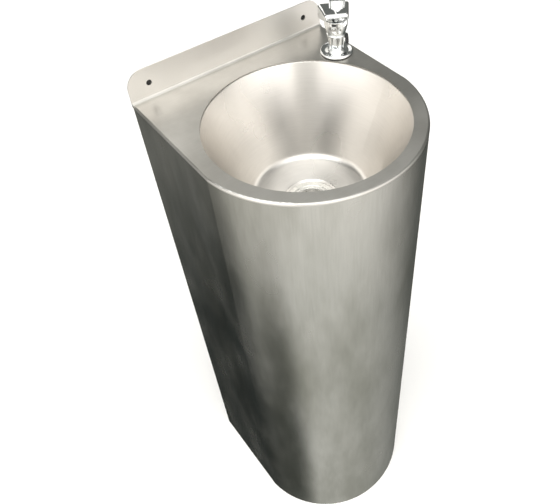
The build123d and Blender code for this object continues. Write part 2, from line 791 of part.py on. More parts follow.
# Flange: a raised rim, a hollow slope inside it and a collar under the stem.
with BuildPart() as bubbler_flange:
    bore = shank_radius + 2 * fit_clearance
    rim_top = 0.75 * flange_top
    with BuildSketch(bubbler_section):
        with BuildLine():
            Polyline(
                (bore, flange_top),
                (bore, flange_gasket),
                (flange_radius - flange_gasket, flange_gasket),
            )
            ThreePointArc(
                (flange_radius - flange_gasket, flange_gasket),
                (flange_radius, 0.4 * flange_top),
                (flange_radius - 2 * flange_gasket, rim_top),
            )
            ThreePointArc(
                (flange_radius - 2 * flange_gasket, rim_top),
                (stem_head_radius + 3.5, 0.5 * flange_top),
                (stem_foot_radius + 2 * stem_collar, 0.7 * flange_top),
            )
            Line(
                (stem_foot_radius + 2 * stem_collar, 0.7 * flange_top),
                (stem_foot_radius + stem_collar, flange_top),
            )
            Line((stem_foot_radius + stem_collar, flange_top), (bore, flange_top))
        make_face()
    revolve(axis=bubbler_axis)
bubbler_flange.part.label = "bubbler_flange"
export_step(bubbler_flange.part, "parts/bubbler_flange.step")

guard_underside = guard_top - guard_sheet
nozzle_axis = Vector(0, -math.sin(math.radians(nozzle_tilt)), math.cos(math.radians(nozzle_tilt)))
nozzle_point = (
    bubbler_origin
    + to_right * nozzle_right
    + to_front * nozzle_front
    + Vector(0, 0, nozzle_rise)
)
nozzle_direction = to_front * -nozzle_axis.Y + Vector(0, 0, nozzle_axis.Z)
nozzle_face = Plane(origin=nozzle_point, x_dir=to_right, z_dir=nozzle_direction)
knob_axis_point = bubbler_origin + Vector(0, 0, knob_rise)
knob_face = Plane(origin=knob_axis_point, x_dir=-to_front, z_dir=to_right)

# Body: one casting from the threaded shank up to the thread of the push-button column.
with BuildPart() as bubbler_body:
    with BuildSketch(bubbler.offset(-shank_length)):
        Circle(shank_radius)
    extrude(amount=shank_length + flange_top)
    foot_outline = lobed_outline(bubbler.offset(flange_top), stem_foot_radius, groove_foot)
    head_outline = lobed_outline(bubbler.offset(lip_height), stem_head_radius, groove_head)
    loft([foot_outline.face(), head_outline.face()])
    with BuildSketch(bubbler_section):
        with BuildLine():
            Polyline((0, cup_top), (0, lip_height), (lip_radius - 1, lip_height))
            ThreePointArc(
                (lip_radius - 1, lip_height),
                (lip_radius, (lip_height + cup_foot) / 2),
                (lip_radius - 1, cup_foot),
            )
            ThreePointArc(
                (lip_radius - 1, cup_foot),
                (cup_belly, 0.7 * cup_top + 0.3 * cup_foot),
                (cup_belly - 0.5, cup_top),
            )
            Line((cup_belly - 0.5, cup_top), (0, cup_top))
        make_face()
    revolve(axis=bubbler_axis)
    with BuildSketch(column.offset(guard_underside)):
        Circle(column_radius)
    extrude(amount=-(guard_underside - lip_height), taper=column_taper)
    with BuildSketch(column.offset(guard_underside)):
        Circle(column_thread)
    extrude(amount=column_top - guard_underside)
    with BuildSketch(nozzle_face):
        Circle(nozzle_radius + guard_sheet)
    extrude(amount=-nozzle_radius)
    with BuildSketch(knob_face):
        Circle(knob_boss)
    extrude(amount=knob_boss_end)
    for turn in scallop_turns:
        with Locations(bubbler):
            with Locations(Vector(scallop_reach, 0, scallop_height).rotate(Axis.Z, turn)):
                Sphere(scallop_radius, mode=Mode.SUBTRACT)
    slot_place = Vector(cup_belly - slot_depth / 4, 0, cup_top - slot_height)
    with Locations(bubbler):
        with Locations(Location(slot_place.rotate(Axis.Z, scallop_turns[0]), (0, 0, scallop_turns[0]))):
            Box(slot_depth, slot_width, slot_height, mode=Mode.SUBTRACT)
    with BuildSketch(column.offset(plenum_foot)):
        Circle(cartridge_bore)
    extrude(amount=column_top - plenum_foot, mode=Mode.SUBTRACT)
    with BuildSketch(bubbler.offset(-shank_length)):
        Circle(shank_bore)
    extrude(amount=shank_length + plenum_foot + shank_bore / 2, mode=Mode.SUBTRACT)
    with BuildSketch(bubbler.offset(-shank_length)):
        Circle(tube_radius + fit_clearance)
    extrude(amount=tube_socket, mode=Mode.SUBTRACT)
    with BuildSketch(nozzle_face.offset(nozzle_radius)):
        Circle(nozzle_radius + fit_clearance)
    extrude(amount=-3 * nozzle_radius / 2, mode=Mode.SUBTRACT)
    with BuildSketch(knob_face.offset(shank_bore / 2)):
        Circle(spindle_radius + running)
    extrude(amount=knob_start, mode=Mode.SUBTRACT)
    port_start = column_origin + Vector(0, 0, seat_height + seat_thickness + gallery_height / 2)
    port_run = nozzle_point - nozzle_direction * (nozzle_radius / 3) - port_start
    with BuildSketch(Plane(origin=port_start, z_dir=port_run)):
        Circle(spindle_radius)
    extrude(amount=port_run.length, mode=Mode.SUBTRACT)
bubbler_body.part.label = "bubbler_body"
export_step(bubbler_body.part, "parts/bubbler_body.step")

# Nozzle: a rimmed ring, bored in two steps.
with BuildPart() as nozzle:
    with BuildSketch(nozzle_face.offset(-nozzle_radius / 2)):
        Circle(nozzle_radius)
        Circle(spindle_radius, mode=Mode.SUBTRACT)
    extrude(amount=nozzle_radius / 2 + nozzle_stand)
    rim = edges().filter_by(GeomType.CIRCLE).sort_by(Axis((0, 0, 0), nozzle_direction))[-2:]
    fillet(rim.sort_by(SortBy.RADIUS)[-1], radius=nozzle_edge)
    with BuildSketch(nozzle_face.offset(nozzle_stand)):
        Circle(nozzle_bore)
    extrude(amount=-nozzle_counterbore, mode=Mode.SUBTRACT)
nozzle.part.label = "nozzle"
export_step(nozzle.part, "parts/nozzle.step")

# Mouth guard: a tapering hood with side skirts, a front lip and a rib along its roof.
with BuildPart() as mouth_guard:
    with BuildSketch(bubbler.offset(guard_top - guard_skirt)):
        back_half = guard_back_width / 2
        front_half = guard_front_width / 2
        Polygon(
            (-back_half - guard_shift, guard_back),
            (-front_half - guard_shift, -guard_front),
            (front_half - guard_shift, -guard_front),
            (back_half - guard_shift, guard_back),
            align=None,
        )
    extrude(amount=guard_skirt)
    forward = Axis((0, 0, 0), to_front)
    front_wall = faces().filter_by(Axis.Z, reverse=True).sort_by(forward)[-1]
    fillet(front_wall.edges().filter_by(Axis.Z), radius=guard_corner)
    fillet(faces().sort_by(Axis.Z)[-1].edges().sort_by(forward)[1:], radius=guard_shoulder)
    open_foot = faces().sort_by(Axis.Z)[0]
    open_back = faces().filter_by(Axis.Z, reverse=True).sort_by(forward)[0]
    offset(amount=-guard_sheet, openings=[open_foot, open_back])
    side_view = Plane(origin=bubbler_origin, x_dir=to_front, z_dir=-to_right)
    with BuildSketch(side_view.offset(-guard_back_width)):
        Polygon(
            (-guard_back - 1, 0),
            (-guard_back - 1, guard_top - guard_skirt),
            (guard_front - guard_lip_run, guard_top - guard_skirt_front),
            (guard_front - guard_lip_run, guard_top - guard_lip),
            (guard_front + 1, guard_top - guard_lip),
            (guard_front + 1, 0),
            align=None,
        )
    extrude(amount=2 * guard_back_width, mode=Mode.SUBTRACT)
    with BuildSketch(column.offset(guard_underside)):
        Circle(column_radius + guard_sheet)
    extrude(amount=guard_sheet)
    with BuildSketch(bubbler.offset(guard_underside)):
        with Locations((-guard_shift, -guard_front / 2)):
            SlotOverall(guard_front - 2 * guard_rib_width, guard_rib_width, rotation=90)
    extrude(amount=guard_sheet + guard_rib_rise)
    with BuildSketch(column.offset(guard_underside)):
        Circle(column_thread + fit_clearance)
    extrude(amount=3 * guard_sheet, mode=Mode.SUBTRACT)
    with BuildSketch(column.offset(guard_top)):
        Circle(collar_radius + 2 * collar_grip_radius)
    extrude(amount=guard_rib_rise, mode=Mode.SUBTRACT)
mouth_guard.part.label = "mouth_guard"
export_step(mouth_guard.part, "parts/mouth_guard.step")

# Collar: screws down on the column, clamps the guard and keeps the button in.
collar_top = guard_top + collar_height
button_shoulder = button_underside + button_flange
with BuildPart() as button_collar:
    with BuildSketch(column_section):
        Polygon(
            (column_thread + fit_clearance, guard_top),
            (collar_radius, guard_top),
            (collar_radius, collar_top - collar_chamfer),
            (collar_radius - collar_chamfer, collar_top),
            (wiper_radius, collar_top),
            (wiper_radius, collar_top - wiper_thickness),
            (button_radius + button_gap, collar_top - wiper_thickness),
            (button_radius + button_gap, button_shoulder + button_gap),
            (column_thread + fit_clearance, button_shoulder + button_gap),
            align=None,
        )
    revolve(axis=column_axis)
    with BuildSketch(column.offset(guard_top)):
        with PolarLocations(collar_radius + collar_grip_radius / 2, collar_grips):
            Circle(collar_grip_radius)
    extrude(amount=collar_height - collar_chamfer, mode=Mode.SUBTRACT)
button_collar.part.label = "button_collar"
export_step(button_collar.part, "parts/button_collar.step")

with BuildPart() as button_wiper:
    with BuildSketch(column.offset(collar_top - wiper_thickness)):
        Circle(wiper_radius - fit_clearance)
        Circle(button_radius + button_gap, mode=Mode.SUBTRACT)
    extrude(amount=wiper_thickness)
button_wiper.part.label = "button_wiper"
export_step(button_wiper.part, "parts/button_wiper.step")

with BuildPart() as push_button:
    with BuildSketch(column_section):
        with BuildLine():
            Polyline(
                (0, button_top),
                (0, button_underside),
                (cartridge_bore - button_gap, button_underside),
                (cartridge_bore - button_gap, button_shoulder),
                (button_radius, button_shoulder),
                (button_radius, button_top - button_dome),
            )
            dome_radius = (button_radius**2 + button_dome**2) / (2 * button_dome)
            dome_flat = math.sqrt(dome_radius**2 - (button_radius / 2) ** 2)
            ThreePointArc(
                (button_radius, button_top - button_dome),
                (button_radius / 2, button_top - dome_radius + dome_flat),
                (0, button_top),
            )
        make_face()
    revolve(axis=column_axis)
    with BuildSketch(column.offset(button_underside)):
        Circle(stem_radius + running)
    extrude(amount=button_flange + stem_grip + fit_clearance, mode=Mode.SUBTRACT)
push_button.part.label = "push_button"
export_step(push_button.part, "parts/push_button.step")

# Cartridge: guides the stem and carries the seat that the washer closes from below.
gallery_foot = seat_height + seat_thickness
gallery_top = gallery_foot + gallery_height
with BuildPart() as valve_cartridge:
    with BuildSketch(column.offset(cartridge_foot)):
        Circle(cartridge_bore - fit_clearance)
        Circle(gallery_radius, mode=Mode.SUBTRACT)
    extrude(amount=cartridge_top - cartridge_foot)
    with BuildSketch(column.offset(seat_height)):
        Circle(gallery_radius + fit_clearance)
        Circle(seat_bore, mode=Mode.SUBTRACT)
    extrude(amount=gallery_foot - seat_height)
    with BuildSketch(column.offset(gallery_top)):
        Circle(gallery_radius + fit_clearance)
        Circle(stem_radius + running, mode=Mode.SUBTRACT)
    extrude(amount=cartridge_top - gallery_top)
    with BuildSketch(Plane(origin=port_start, z_dir=port_run)):
        Circle(spindle_radius)
    extrude(amount=2 * cartridge_bore, mode=Mode.SUBTRACT)
valve_cartridge.part.label = "valve_cartridge"
export_step(valve_cartridge.part, "parts/valve_cartridge.step")

washer_foot = seat_height - valve_washer_thickness
with BuildPart() as valve_stem:
    with BuildSketch(column.offset(washer_foot - stem_head)):
        Circle(2 * stem_radius)
    extrude(amount=stem_head)
    with BuildSketch(column.offset(washer_foot)):
        Circle(stem_radius)
    extrude(amount=button_shoulder + stem_grip - washer_foot)
valve_stem.part.label = "valve_stem"
export_step(valve_stem.part, "parts/valve_stem.step")

with BuildPart() as valve_washer:
    with BuildSketch(column.offset(washer_foot)):
        Circle(gallery_radius - button_gap)
        Circle(stem_radius + running, mode=Mode.SUBTRACT)
    extrude(amount=valve_washer_thickness)
valve_washer.part.label = "valve_washer"
export_step(valve_washer.part, "parts/valve_washer.step")

# Return spring: an open coil between the cartridge and the underside of the button.
spring_foot = cartridge_top + spring_wire
spring_height = button_underside - spring_wire - spring_foot
with BuildPart() as return_spring:
    with BuildLine(column.offset(spring_foot)) as coil:
        Helix(spring_height / spring_turns, spring_height, spring_radius)
    with BuildSketch(Plane(origin=coil.line @ 0, z_dir=coil.line % 0)):
        Circle(spring_wire)
    sweep(path=coil.line)
return_spring.part.label = "return_spring"
export_step(return_spring.part, "parts/return_spring.step")

# Flow regulator: a knurled knob on a spindle that reaches the water way.
with BuildPart() as flow_knob:
    with BuildSketch(knob_face.offset(knob_start)):
        Circle(knob_radius)
        with PolarLocations(knob_radius + knob_flute_radius / 2, knob_flutes):
            Circle(knob_flute_radius, mode=Mode.SUBTRACT)
    extrude(amount=knob_thickness)
    with BuildSketch(knob_face.offset(knob_start + knob_thickness)):
        Rectangle(knob_radius, knob_slot)
    extrude(amount=-knob_slot, mode=Mode.SUBTRACT)
    with BuildSketch(knob_face.offset(knob_start)):
        Circle(spindle_radius + running)
    extrude(amount=knob_thickness / 2, mode=Mode.SUBTRACT)
flow_knob.part.label = "flow_knob"
export_step(flow_knob.part, "parts/flow_knob.step")

with BuildPart() as flow_spindle:
    with BuildSketch(knob_face.offset(shank_bore / 2 + running)):
        Circle(spindle_radius)
    extrude(amount=knob_start + knob_thickness / 2 - shank_bore / 2 - 2 * running)
flow_spindle.part.label = "flow_spindle"
export_step(flow_spindle.part, "parts/flow_spindle.step")

# Under the deck: washer, back nut and the compression joint of the supply tube.
nut_top = -sheet - washer_thickness
with BuildPart() as shank_washer:
    with BuildSketch(bubbler.offset(nut_top)):
        Circle(washer_radius)
        Circle(shank_radius + fit_clearance, mode=Mode.SUBTRACT)
    extrude(amount=washer_thickness)
shank_washer.part.label = "shank_washer"
export_step(shank_washer.part, "parts/shank_washer.step")

with BuildPart() as shank_nut:
    with BuildSketch(bubbler.offset(nut_top - shank_nut_height)):
        RegularPolygon(shank_hex / 2, 6, major_radius=False)
        Circle(shank_radius + fit_clearance, mode=Mode.SUBTRACT)
    extrude(amount=shank_nut_height)
shank_nut.part.label = "shank_nut"
export_step(shank_nut.part, "parts/shank_nut.step")

tail_olive = compression_olive(bubbler.offset(-shank_length - olive_height))
tail_olive.label = "tail_olive"
export_step(tail_olive, "parts/tail_olive.step")

tail_nut = compression_nut(bubbler.offset(-shank_length - 2 * olive_height), shank_radius)
tail_nut.label = "tail_nut"
export_step(tail_nut, "parts/tail_nut.step")

# ---------------------------------------------------------------- stop valve and supply tube
# The ball and its spindle turn on the inlet's axis; the outlet stands straight up from the ball.
ball_y = web_y - ball_from_web
ball_centre = Vector(valve_right, ball_y, service_z)
to_wall = Plane(origin=ball_centre, x_dir=(1, 0, 0), z_dir=(0, 1, 0))
valve_front_face = to_wall.offset(-valve_front)
valve_up = Plane(origin=ball_centre)
with BuildPart() as stop_valve_body:
    with BuildSketch(valve_front_face):
        Circle(valve_body_radius)
    extrude(amount=valve_front + ball_from_web - valve_hex_depth)
    chamfer(edges().group_by(Axis.Y)[0], length=valve_body_chamfer)
    with BuildSketch(to_wall.offset(ball_from_web - valve_hex_depth)):
        RegularPolygon(valve_hex / 2, 6, major_radius=False)
    extrude(amount=valve_hex_depth)
    with BuildSketch(to_wall.offset(ball_from_web)):
        Circle(inlet_radius)
    extrude(amount=bracket_standoff)
    with BuildSketch(to_wall.offset(ball_from_web + bracket_standoff - inlet_free_end)):
        Circle(inlet_radius)
        Circle(inlet_radius - relief_groove, mode=Mode.SUBTRACT)
    extrude(amount=-relief_groove, mode=Mode.SUBTRACT)
    with BuildSketch(valve_up):
        Circle(valve_outlet_radius)
    extrude(amount=valve_outlet_rise)
    with BuildSketch(to_wall):
        Circle(inlet_bore)
    extrude(amount=ball_from_web + bracket_standoff, mode=Mode.SUBTRACT)
    with BuildSketch(valve_front_face):
        Circle(ball_radius + 4 * fit_clearance)
    extrude(amount=valve_front + ball_radius + seat_ring_end, mode=Mode.SUBTRACT)
    with BuildSketch(valve_up):
        Circle(ball_port)
    extrude(amount=valve_outlet_rise, mode=Mode.SUBTRACT)
    with BuildSketch(valve_up.offset(valve_outlet_rise)):
        Circle(tube_radius + fit_clearance)
    extrude(amount=-tube_socket, mode=Mode.SUBTRACT)
stop_valve_body.part.label = "stop_valve_body"
export_step(stop_valve_body.part, "parts/stop_valve_body.step")

with BuildPart() as valve_seat_ring:
    with BuildSketch(to_wall.offset(ball_radius / 2)):
        Circle(ball_radius + 3 * fit_clearance)
    extrude(amount=ball_radius / 2 + seat_ring_end)
    with Locations(ball_centre):
        Sphere(ball_radius + running, mode=Mode.SUBTRACT)
    with BuildSketch(to_wall):
        Circle(seat_ring_bore)
    extrude(amount=2 * ball_radius, mode=Mode.SUBTRACT)
valve_seat_ring.part.label = "valve_seat_ring"
export_step(valve_seat_ring.part, "parts/valve_seat_ring.step")

# Ball: bored from the inlet and, at a right angle, to the outlet, with a slot for the spindle.
with BuildPart() as stop_valve_ball:
    with Locations(ball_centre):
        Sphere(ball_radius)
    with BuildSketch(to_wall.offset(-ball_radius)):
        Rectangle(ball_slot_width, 3 * ball_radius)
    extrude(amount=ball_slot_depth, mode=Mode.SUBTRACT)
    with BuildSketch(to_wall):
        Circle(ball_port)
    extrude(amount=ball_radius, mode=Mode.SUBTRACT)
    with BuildSketch(valve_up):
        Circle(ball_port)
    extrude(amount=ball_radius, mode=Mode.SUBTRACT)
    with Locations(ball_centre):
        Sphere(ball_port, mode=Mode.SUBTRACT)
stop_valve_ball.part.label = "stop_valve_ball"
export_step(stop_valve_ball.part, "parts/stop_valve_ball.step")

gland_end = valve_front + gland_head
hub_back = gland_end + lever_gap
hub_front = hub_back + lever_hub_depth
blade_front = hub_front - lever_sheet / 4
spindle_foot = ball_radius + spindle_shoulder
spindle_end = hub_front - lever_hub_depth / 5
with BuildPart() as stop_valve_spindle:
    with BuildSketch(to_wall.offset(-spindle_end)):
        Circle(valve_spindle_radius)
    extrude(amount=spindle_end - spindle_foot)
    with BuildSketch(to_wall.offset(-spindle_foot)):
        Circle(valve_spindle_radius + spindle_collar)
    extrude(amount=spindle_collar_depth)
    with BuildSketch(to_wall.offset(-spindle_foot)):
        Rectangle(blade_width, 2 * valve_spindle_radius)
    extrude(amount=spindle_blade)
    with BuildSketch(to_wall.offset(-spindle_end)):
        Circle(handle_screw_radius + fit_clearance)
    extrude(amount=handle_screw_length, mode=Mode.SUBTRACT)
stop_valve_spindle.part.label = "stop_valve_spindle"
export_step(stop_valve_spindle.part, "parts/stop_valve_spindle.step")

with BuildPart() as stop_valve_gland:
    with BuildSketch(to_wall.offset(-gland_end)):
        RegularPolygon(gland_hex / 2, 6, major_radius=False)
    extrude(amount=gland_head)
    with BuildSketch(valve_front_face):
        Circle(ball_radius + 3 * fit_clearance)
    extrude(amount=gland_depth)
    with BuildSketch(to_wall.offset(-gland_end)):
        Circle(valve_spindle_radius + running)
    extrude(amount=gland_end, mode=Mode.SUBTRACT)
stop_valve_gland.part.label = "stop_valve_gland"
export_step(stop_valve_gland.part, "parts/stop_valve_gland.step")

with BuildPart() as stop_valve_handle:
    with BuildSketch(to_wall.offset(-blade_front)):
        with BuildLine():
            Polyline(
                (-lever_width_at_hub / 2, lever_behind),
                (-lever_width_at_end / 2, -lever_length),
                (lever_width_at_end / 2, -lever_length),
                (lever_width_at_hub / 2, lever_behind),
                close=True,
            )
        make_face()
        fillet(vertices(), radius=lever_corner)
    extrude(amount=lever_sheet)
    with BuildSketch(to_wall.offset(-hub_front)):
        Circle(lever_hub)
    extrude(amount=lever_hub_depth)
    with BuildSketch(to_wall.offset(-spindle_end)):
        Circle(valve_spindle_radius + fit_clearance)
    extrude(amount=lever_hub_depth, mode=Mode.SUBTRACT)
    with BuildSketch(to_wall.offset(-hub_front)):
        Circle(handle_screw_radius + 3 * fit_clearance)
    extrude(amount=lever_hub_depth, mode=Mode.SUBTRACT)
stop_valve_handle.part.label = "stop_valve_handle"
export_step(stop_valve_handle.part, "parts/stop_valve_handle.step")

with BuildPart() as handle_screw:
    with BuildSketch(to_wall.offset(-hub_front)):
        Circle(handle_screw_head)
    extrude(amount=-handle_screw_head_depth)
    fillet(edges().group_by(Axis.Y)[0], radius=handle_screw_head_depth / 2)
    with BuildSketch(to_wall.offset(-hub_front)):
        Circle(handle_screw_radius)
    extrude(amount=handle_screw_length)
handle_screw.part.label = "handle_screw"
export_step(handle_screw.part, "parts/handle_screw.step")

with BuildPart() as inlet_locknut:
    with BuildSketch(to_wall.offset(ball_from_web + bracket_sheet)):
        RegularPolygon(valve_hex / 2, 6, major_radius=False)
        Circle(inlet_radius + fit_clearance, mode=Mode.SUBTRACT)
    extrude(amount=valve_hex_depth)
inlet_locknut.part.label = "inlet_locknut"
export_step(inlet_locknut.part, "parts/inlet_locknut.step")

valve_olive = compression_olive(valve_up.offset(valve_outlet_rise))
valve_olive.label = "valve_olive"
export_step(valve_olive, "parts/valve_olive.step")

outlet_end = ball_centre + Vector(0, 0, valve_outlet_rise + 2 * olive_height)
valve_tube_nut = compression_nut(Plane(origin=outlet_end, z_dir=(0, 0, -1)), valve_outlet_radius)
valve_tube_nut.label = "valve_tube_nut"
export_step(valve_tube_nut, "parts/valve_tube_nut.step")

# Supply tube: straight into each joint, with one gentle set between them.
tube_start = ball_centre + Vector(0, 0, valve_outlet_rise - tube_socket + tube_gap)
tube_finish = bubbler_origin - Vector(0, 0, shank_length - tube_socket + tube_gap)
with BuildPart() as supply_tube:
    with BuildLine() as tube_path:
        FilletPolyline(
            tube_start,
            tube_start + Vector(0, 0, tube_straight),
            tube_finish - Vector(0, 0, tube_straight),
            tube_finish,
            radius=tube_bend,
        )
    with BuildSketch(Plane(origin=tube_start)):
        Circle(tube_radius)
        Circle(tube_radius - tube_wall, mode=Mode.SUBTRACT)
    sweep(path=tube_path.line)
supply_tube.part.label = "supply_tube"
export_step(supply_tube.part, "parts/supply_tube.step")
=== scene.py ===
import json
import math
import bmesh
import bpy
from mathutils import Matrix, Vector


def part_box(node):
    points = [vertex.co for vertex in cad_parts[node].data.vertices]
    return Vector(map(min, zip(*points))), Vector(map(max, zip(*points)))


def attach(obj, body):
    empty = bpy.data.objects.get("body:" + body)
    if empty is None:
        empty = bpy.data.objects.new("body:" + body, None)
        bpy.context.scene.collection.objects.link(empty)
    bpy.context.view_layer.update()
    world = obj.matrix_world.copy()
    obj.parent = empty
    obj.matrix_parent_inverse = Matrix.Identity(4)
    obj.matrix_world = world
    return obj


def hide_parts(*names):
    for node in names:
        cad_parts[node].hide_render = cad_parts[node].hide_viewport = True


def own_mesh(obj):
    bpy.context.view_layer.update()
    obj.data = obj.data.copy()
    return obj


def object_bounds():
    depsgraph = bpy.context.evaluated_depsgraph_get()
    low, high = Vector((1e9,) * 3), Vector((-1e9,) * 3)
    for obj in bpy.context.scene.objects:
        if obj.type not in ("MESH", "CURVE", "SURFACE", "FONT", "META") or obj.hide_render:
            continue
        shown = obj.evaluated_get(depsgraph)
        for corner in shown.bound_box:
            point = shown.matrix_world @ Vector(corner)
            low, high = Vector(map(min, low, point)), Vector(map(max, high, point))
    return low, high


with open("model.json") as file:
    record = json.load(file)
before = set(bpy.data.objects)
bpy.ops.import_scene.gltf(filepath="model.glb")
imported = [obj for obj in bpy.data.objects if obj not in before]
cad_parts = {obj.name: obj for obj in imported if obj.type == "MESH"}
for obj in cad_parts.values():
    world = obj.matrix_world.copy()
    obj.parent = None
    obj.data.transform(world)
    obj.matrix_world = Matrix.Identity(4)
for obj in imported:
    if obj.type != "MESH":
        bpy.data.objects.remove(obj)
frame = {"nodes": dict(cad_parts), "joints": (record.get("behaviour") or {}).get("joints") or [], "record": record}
cad_low, cad_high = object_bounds()
nodes = frame["nodes"]
MM = 0.001

# ---------------------------------------------------------------- studio
CAMERA_PLACE = (-0.37503, -0.54925, 1.39027)
CAMERA_TURN = (42.717, 2.2925, -37.7695)        # degrees, XYZ
CAMERA_LENS = 40.796                            # mm, on a 36 mm sensor
CAMERA_SHIFT = (-0.06646, -0.02941)
FLOOR_SPAN = 9.0


def make_camera():
    data = bpy.data.cameras.new("camera")
    data.sensor_width = 36
    data.lens = CAMERA_LENS
    data.shift_x, data.shift_y = CAMERA_SHIFT
    camera = bpy.data.objects.new("camera", data)
    camera.location = CAMERA_PLACE
    camera.rotation_euler = [math.radians(turn) for turn in CAMERA_TURN]
    bpy.context.collection.objects.link(camera)
    bpy.context.scene.camera = camera
    bpy.context.scene.view_settings.view_transform = "Standard"


def link_map(tree, value, start, end, low, high, smooth=True):
    """A Map Range node from value, between start and end, to low and high."""
    node = tree.nodes.new("ShaderNodeMapRange")
    node.interpolation_type = "SMOOTHSTEP" if smooth else "LINEAR"
    tree.links.new(value, node.inputs["Value"])
    for socket, number in zip(("From Min", "From Max", "To Min", "To Max"), (start, end, low, high)):
        node.inputs[socket].default_value = number
    return node.outputs["Result"]


def link_mix(tree, share, low, high, blend="MIX"):
    """A colour Mix node; low and high are colours or sockets."""
    node = tree.nodes.new("ShaderNodeMix")
    node.data_type = "RGBA"
    node.blend_type = blend
    if isinstance(share, (int, float)):
        node.inputs[0].default_value = share
    else:
        tree.links.new(share, node.inputs[0])
    for index, colour in ((6, low), (7, high)):
        if isinstance(colour, tuple):
            node.inputs[index].default_value = (*colour, 1)
        else:
            tree.links.new(colour, node.inputs[index])
    return node.outputs[2]


def facing_share(tree, direction, towards, start, end):
    """0 to 1 as a direction turns towards a fixed one."""
    node = tree.nodes.new("ShaderNodeVectorMath")
    node.operation = "DOT_PRODUCT"
    tree.links.new(direction, node.inputs[0])
    node.inputs[1].default_value = Vector(towards).normalized()
    return link_map(tree, node.outputs["Value"], start, end, 0, 1)


def make_world():
    """A room for the metal to reflect: bright ahead, darker behind, overhead soft boxes."""
    world = bpy.data.worlds.new("studio")
    world.use_nodes = True
    bpy.context.scene.world = world
    tree = world.node_tree
    direction = tree.nodes.new("ShaderNodeTexCoord").outputs["Generated"]
    parts = tree.nodes.new("ShaderNodeSeparateXYZ")
    tree.links.new(direction, parts.inputs[0])
    height = parts.outputs["Z"]
    steep = link_map(tree, height, -0.48, -0.82, 0, 1)
    ahead = link_mix(tree, steep, (1.4, 1.35, 1.28), (0.64, 0.645, 0.6))
    front = facing_share(tree, direction, (-0.6, -0.8, -0.08), -0.6, 0.72)
    low_room = link_mix(tree, front, (0.08, 0.086, 0.078), ahead)
    left_pit = facing_share(tree, direction, (-0.45, 0.0, -0.89), 0.955, 1.0)
    low_room = link_mix(tree, left_pit, low_room, (0.03, 0.036, 0.03))
    back_pit = facing_share(tree, direction, (-0.3, 0.43, -0.85), 0.91, 0.99)
    low_room = link_mix(tree, back_pit, low_room, (0.015, 0.02, 0.019))
    window = facing_share(tree, direction, (0.126, 0.897, 0.423), 0.925, 0.995)
    high_room = link_mix(tree, window, (0.15, 0.155, 0.145), (1.85, 1.79, 1.68))
    curtain = facing_share(tree, direction, (-0.6, -0.768, 0.2), 0.955, 0.985)
    ahead_high = link_mix(tree, curtain, (2.15, 2.09, 2.0), (0.9, 0.885, 0.83))
    front_high = facing_share(tree, direction, (-0.62, -0.78, -0.08), -0.45, 0.72)
    high_room = link_mix(tree, front_high, high_room, ahead_high)
    lamp = facing_share(tree, direction, (0.4, 0.42, 0.815), 0.968, 0.995)
    high_room = link_mix(tree, lamp, high_room, (1.25, 1.23, 1.18))
    rising = link_map(tree, height, -0.1, 0.08, 0, 1)
    room = link_mix(tree, rising, low_room, high_room)
    overhead = facing_share(tree, direction, (-0.15, -0.2, 1.0), 0.8, 0.95)
    room = link_mix(tree, overhead, room, (2.2, 2.2, 2.15))
    background = tree.nodes["Background"]
    tree.links.new(room, background.inputs["Color"])
    background.inputs["Strength"].default_value = 1.0


def area_light(name, place, aim, size, power, colour=(1, 1, 1)):
    data = bpy.data.lights.new(name, "AREA")
    data.shape = "RECTANGLE"
    data.size, data.size_y = size
    data.energy = power
    data.color = colour
    light = bpy.data.objects.new(name, data)
    light.location = place
    light.rotation_euler = (Vector(aim) - Vector(place)).to_track_quat("-Z", "Y").to_euler()
    light.visible_camera = False
    light.visible_glossy = False
    bpy.context.collection.objects.link(light)
    return light


def make_lights():
    target = (0, 0, 0.75)
    area_light("key", (-1.1, -1.7, 2.7), target, (1.5, 1.1), 10)
    area_light("top", (0.15, -0.1, 2.9), target, (1.0, 1.0), 6)


def make_floor():
    mesh = bpy.data.meshes.new("floor")
    half = FLOOR_SPAN / 2
    bm = bmesh.new()
    bmesh.ops.create_grid(bm, x_segments=2, y_segments=2, size=half)
    bm.to_mesh(mesh)
    bm.free()
    floor = bpy.data.objects.new("floor", mesh)
    floor.location.z = cad_low.z - 0.0005
    floor.visible_glossy = False
    bpy.context.collection.objects.link(floor)
    material = bpy.data.materials.new("floor_white")
    material.use_nodes = True
    shader = material.node_tree.nodes["Principled BSDF"]
    shader.inputs["Base Color"].default_value = (0.96, 0.96, 0.96, 1)
    shader.inputs["Roughness"].default_value = 0.8
    mesh.materials.append(material)


BACKDROP_RADIUS = 14.0


def make_backdrop():
    """A pale shell far behind everything, which only the camera sees."""
    shell = bmesh.new()
    bmesh.ops.create_uvsphere(shell, u_segments=64, v_segments=32, radius=BACKDROP_RADIUS)
    mesh = bpy.data.meshes.new("backdrop")
    shell.to_mesh(mesh)
    shell.free()
    backdrop = bpy.data.objects.new("backdrop", mesh)
    bpy.context.collection.objects.link(backdrop)
    backdrop.visible_diffuse = False
    backdrop.visible_glossy = False
    backdrop.visible_transmission = False
    backdrop.visible_shadow = False
    material = bpy.data.materials.new("backdrop_white")
    material.use_nodes = True
    shader = material.node_tree.nodes["Principled BSDF"]
    shader.inputs["Base Color"].default_value = (0, 0, 0, 1)
    shader.inputs["Specular IOR Level"].default_value = 0
    shader.inputs["Emission Color"].default_value = (1, 1, 1, 1)
    shader.inputs["Emission Strength"].default_value = 0.95
    mesh.materials.append(material)


# ---------------------------------------------------------------- materials
def new_material(name):
    material = bpy.data.materials.new(name)
    material.use_nodes = True
    tree = material.node_tree
    return material, tree, tree.nodes["Principled BSDF"]


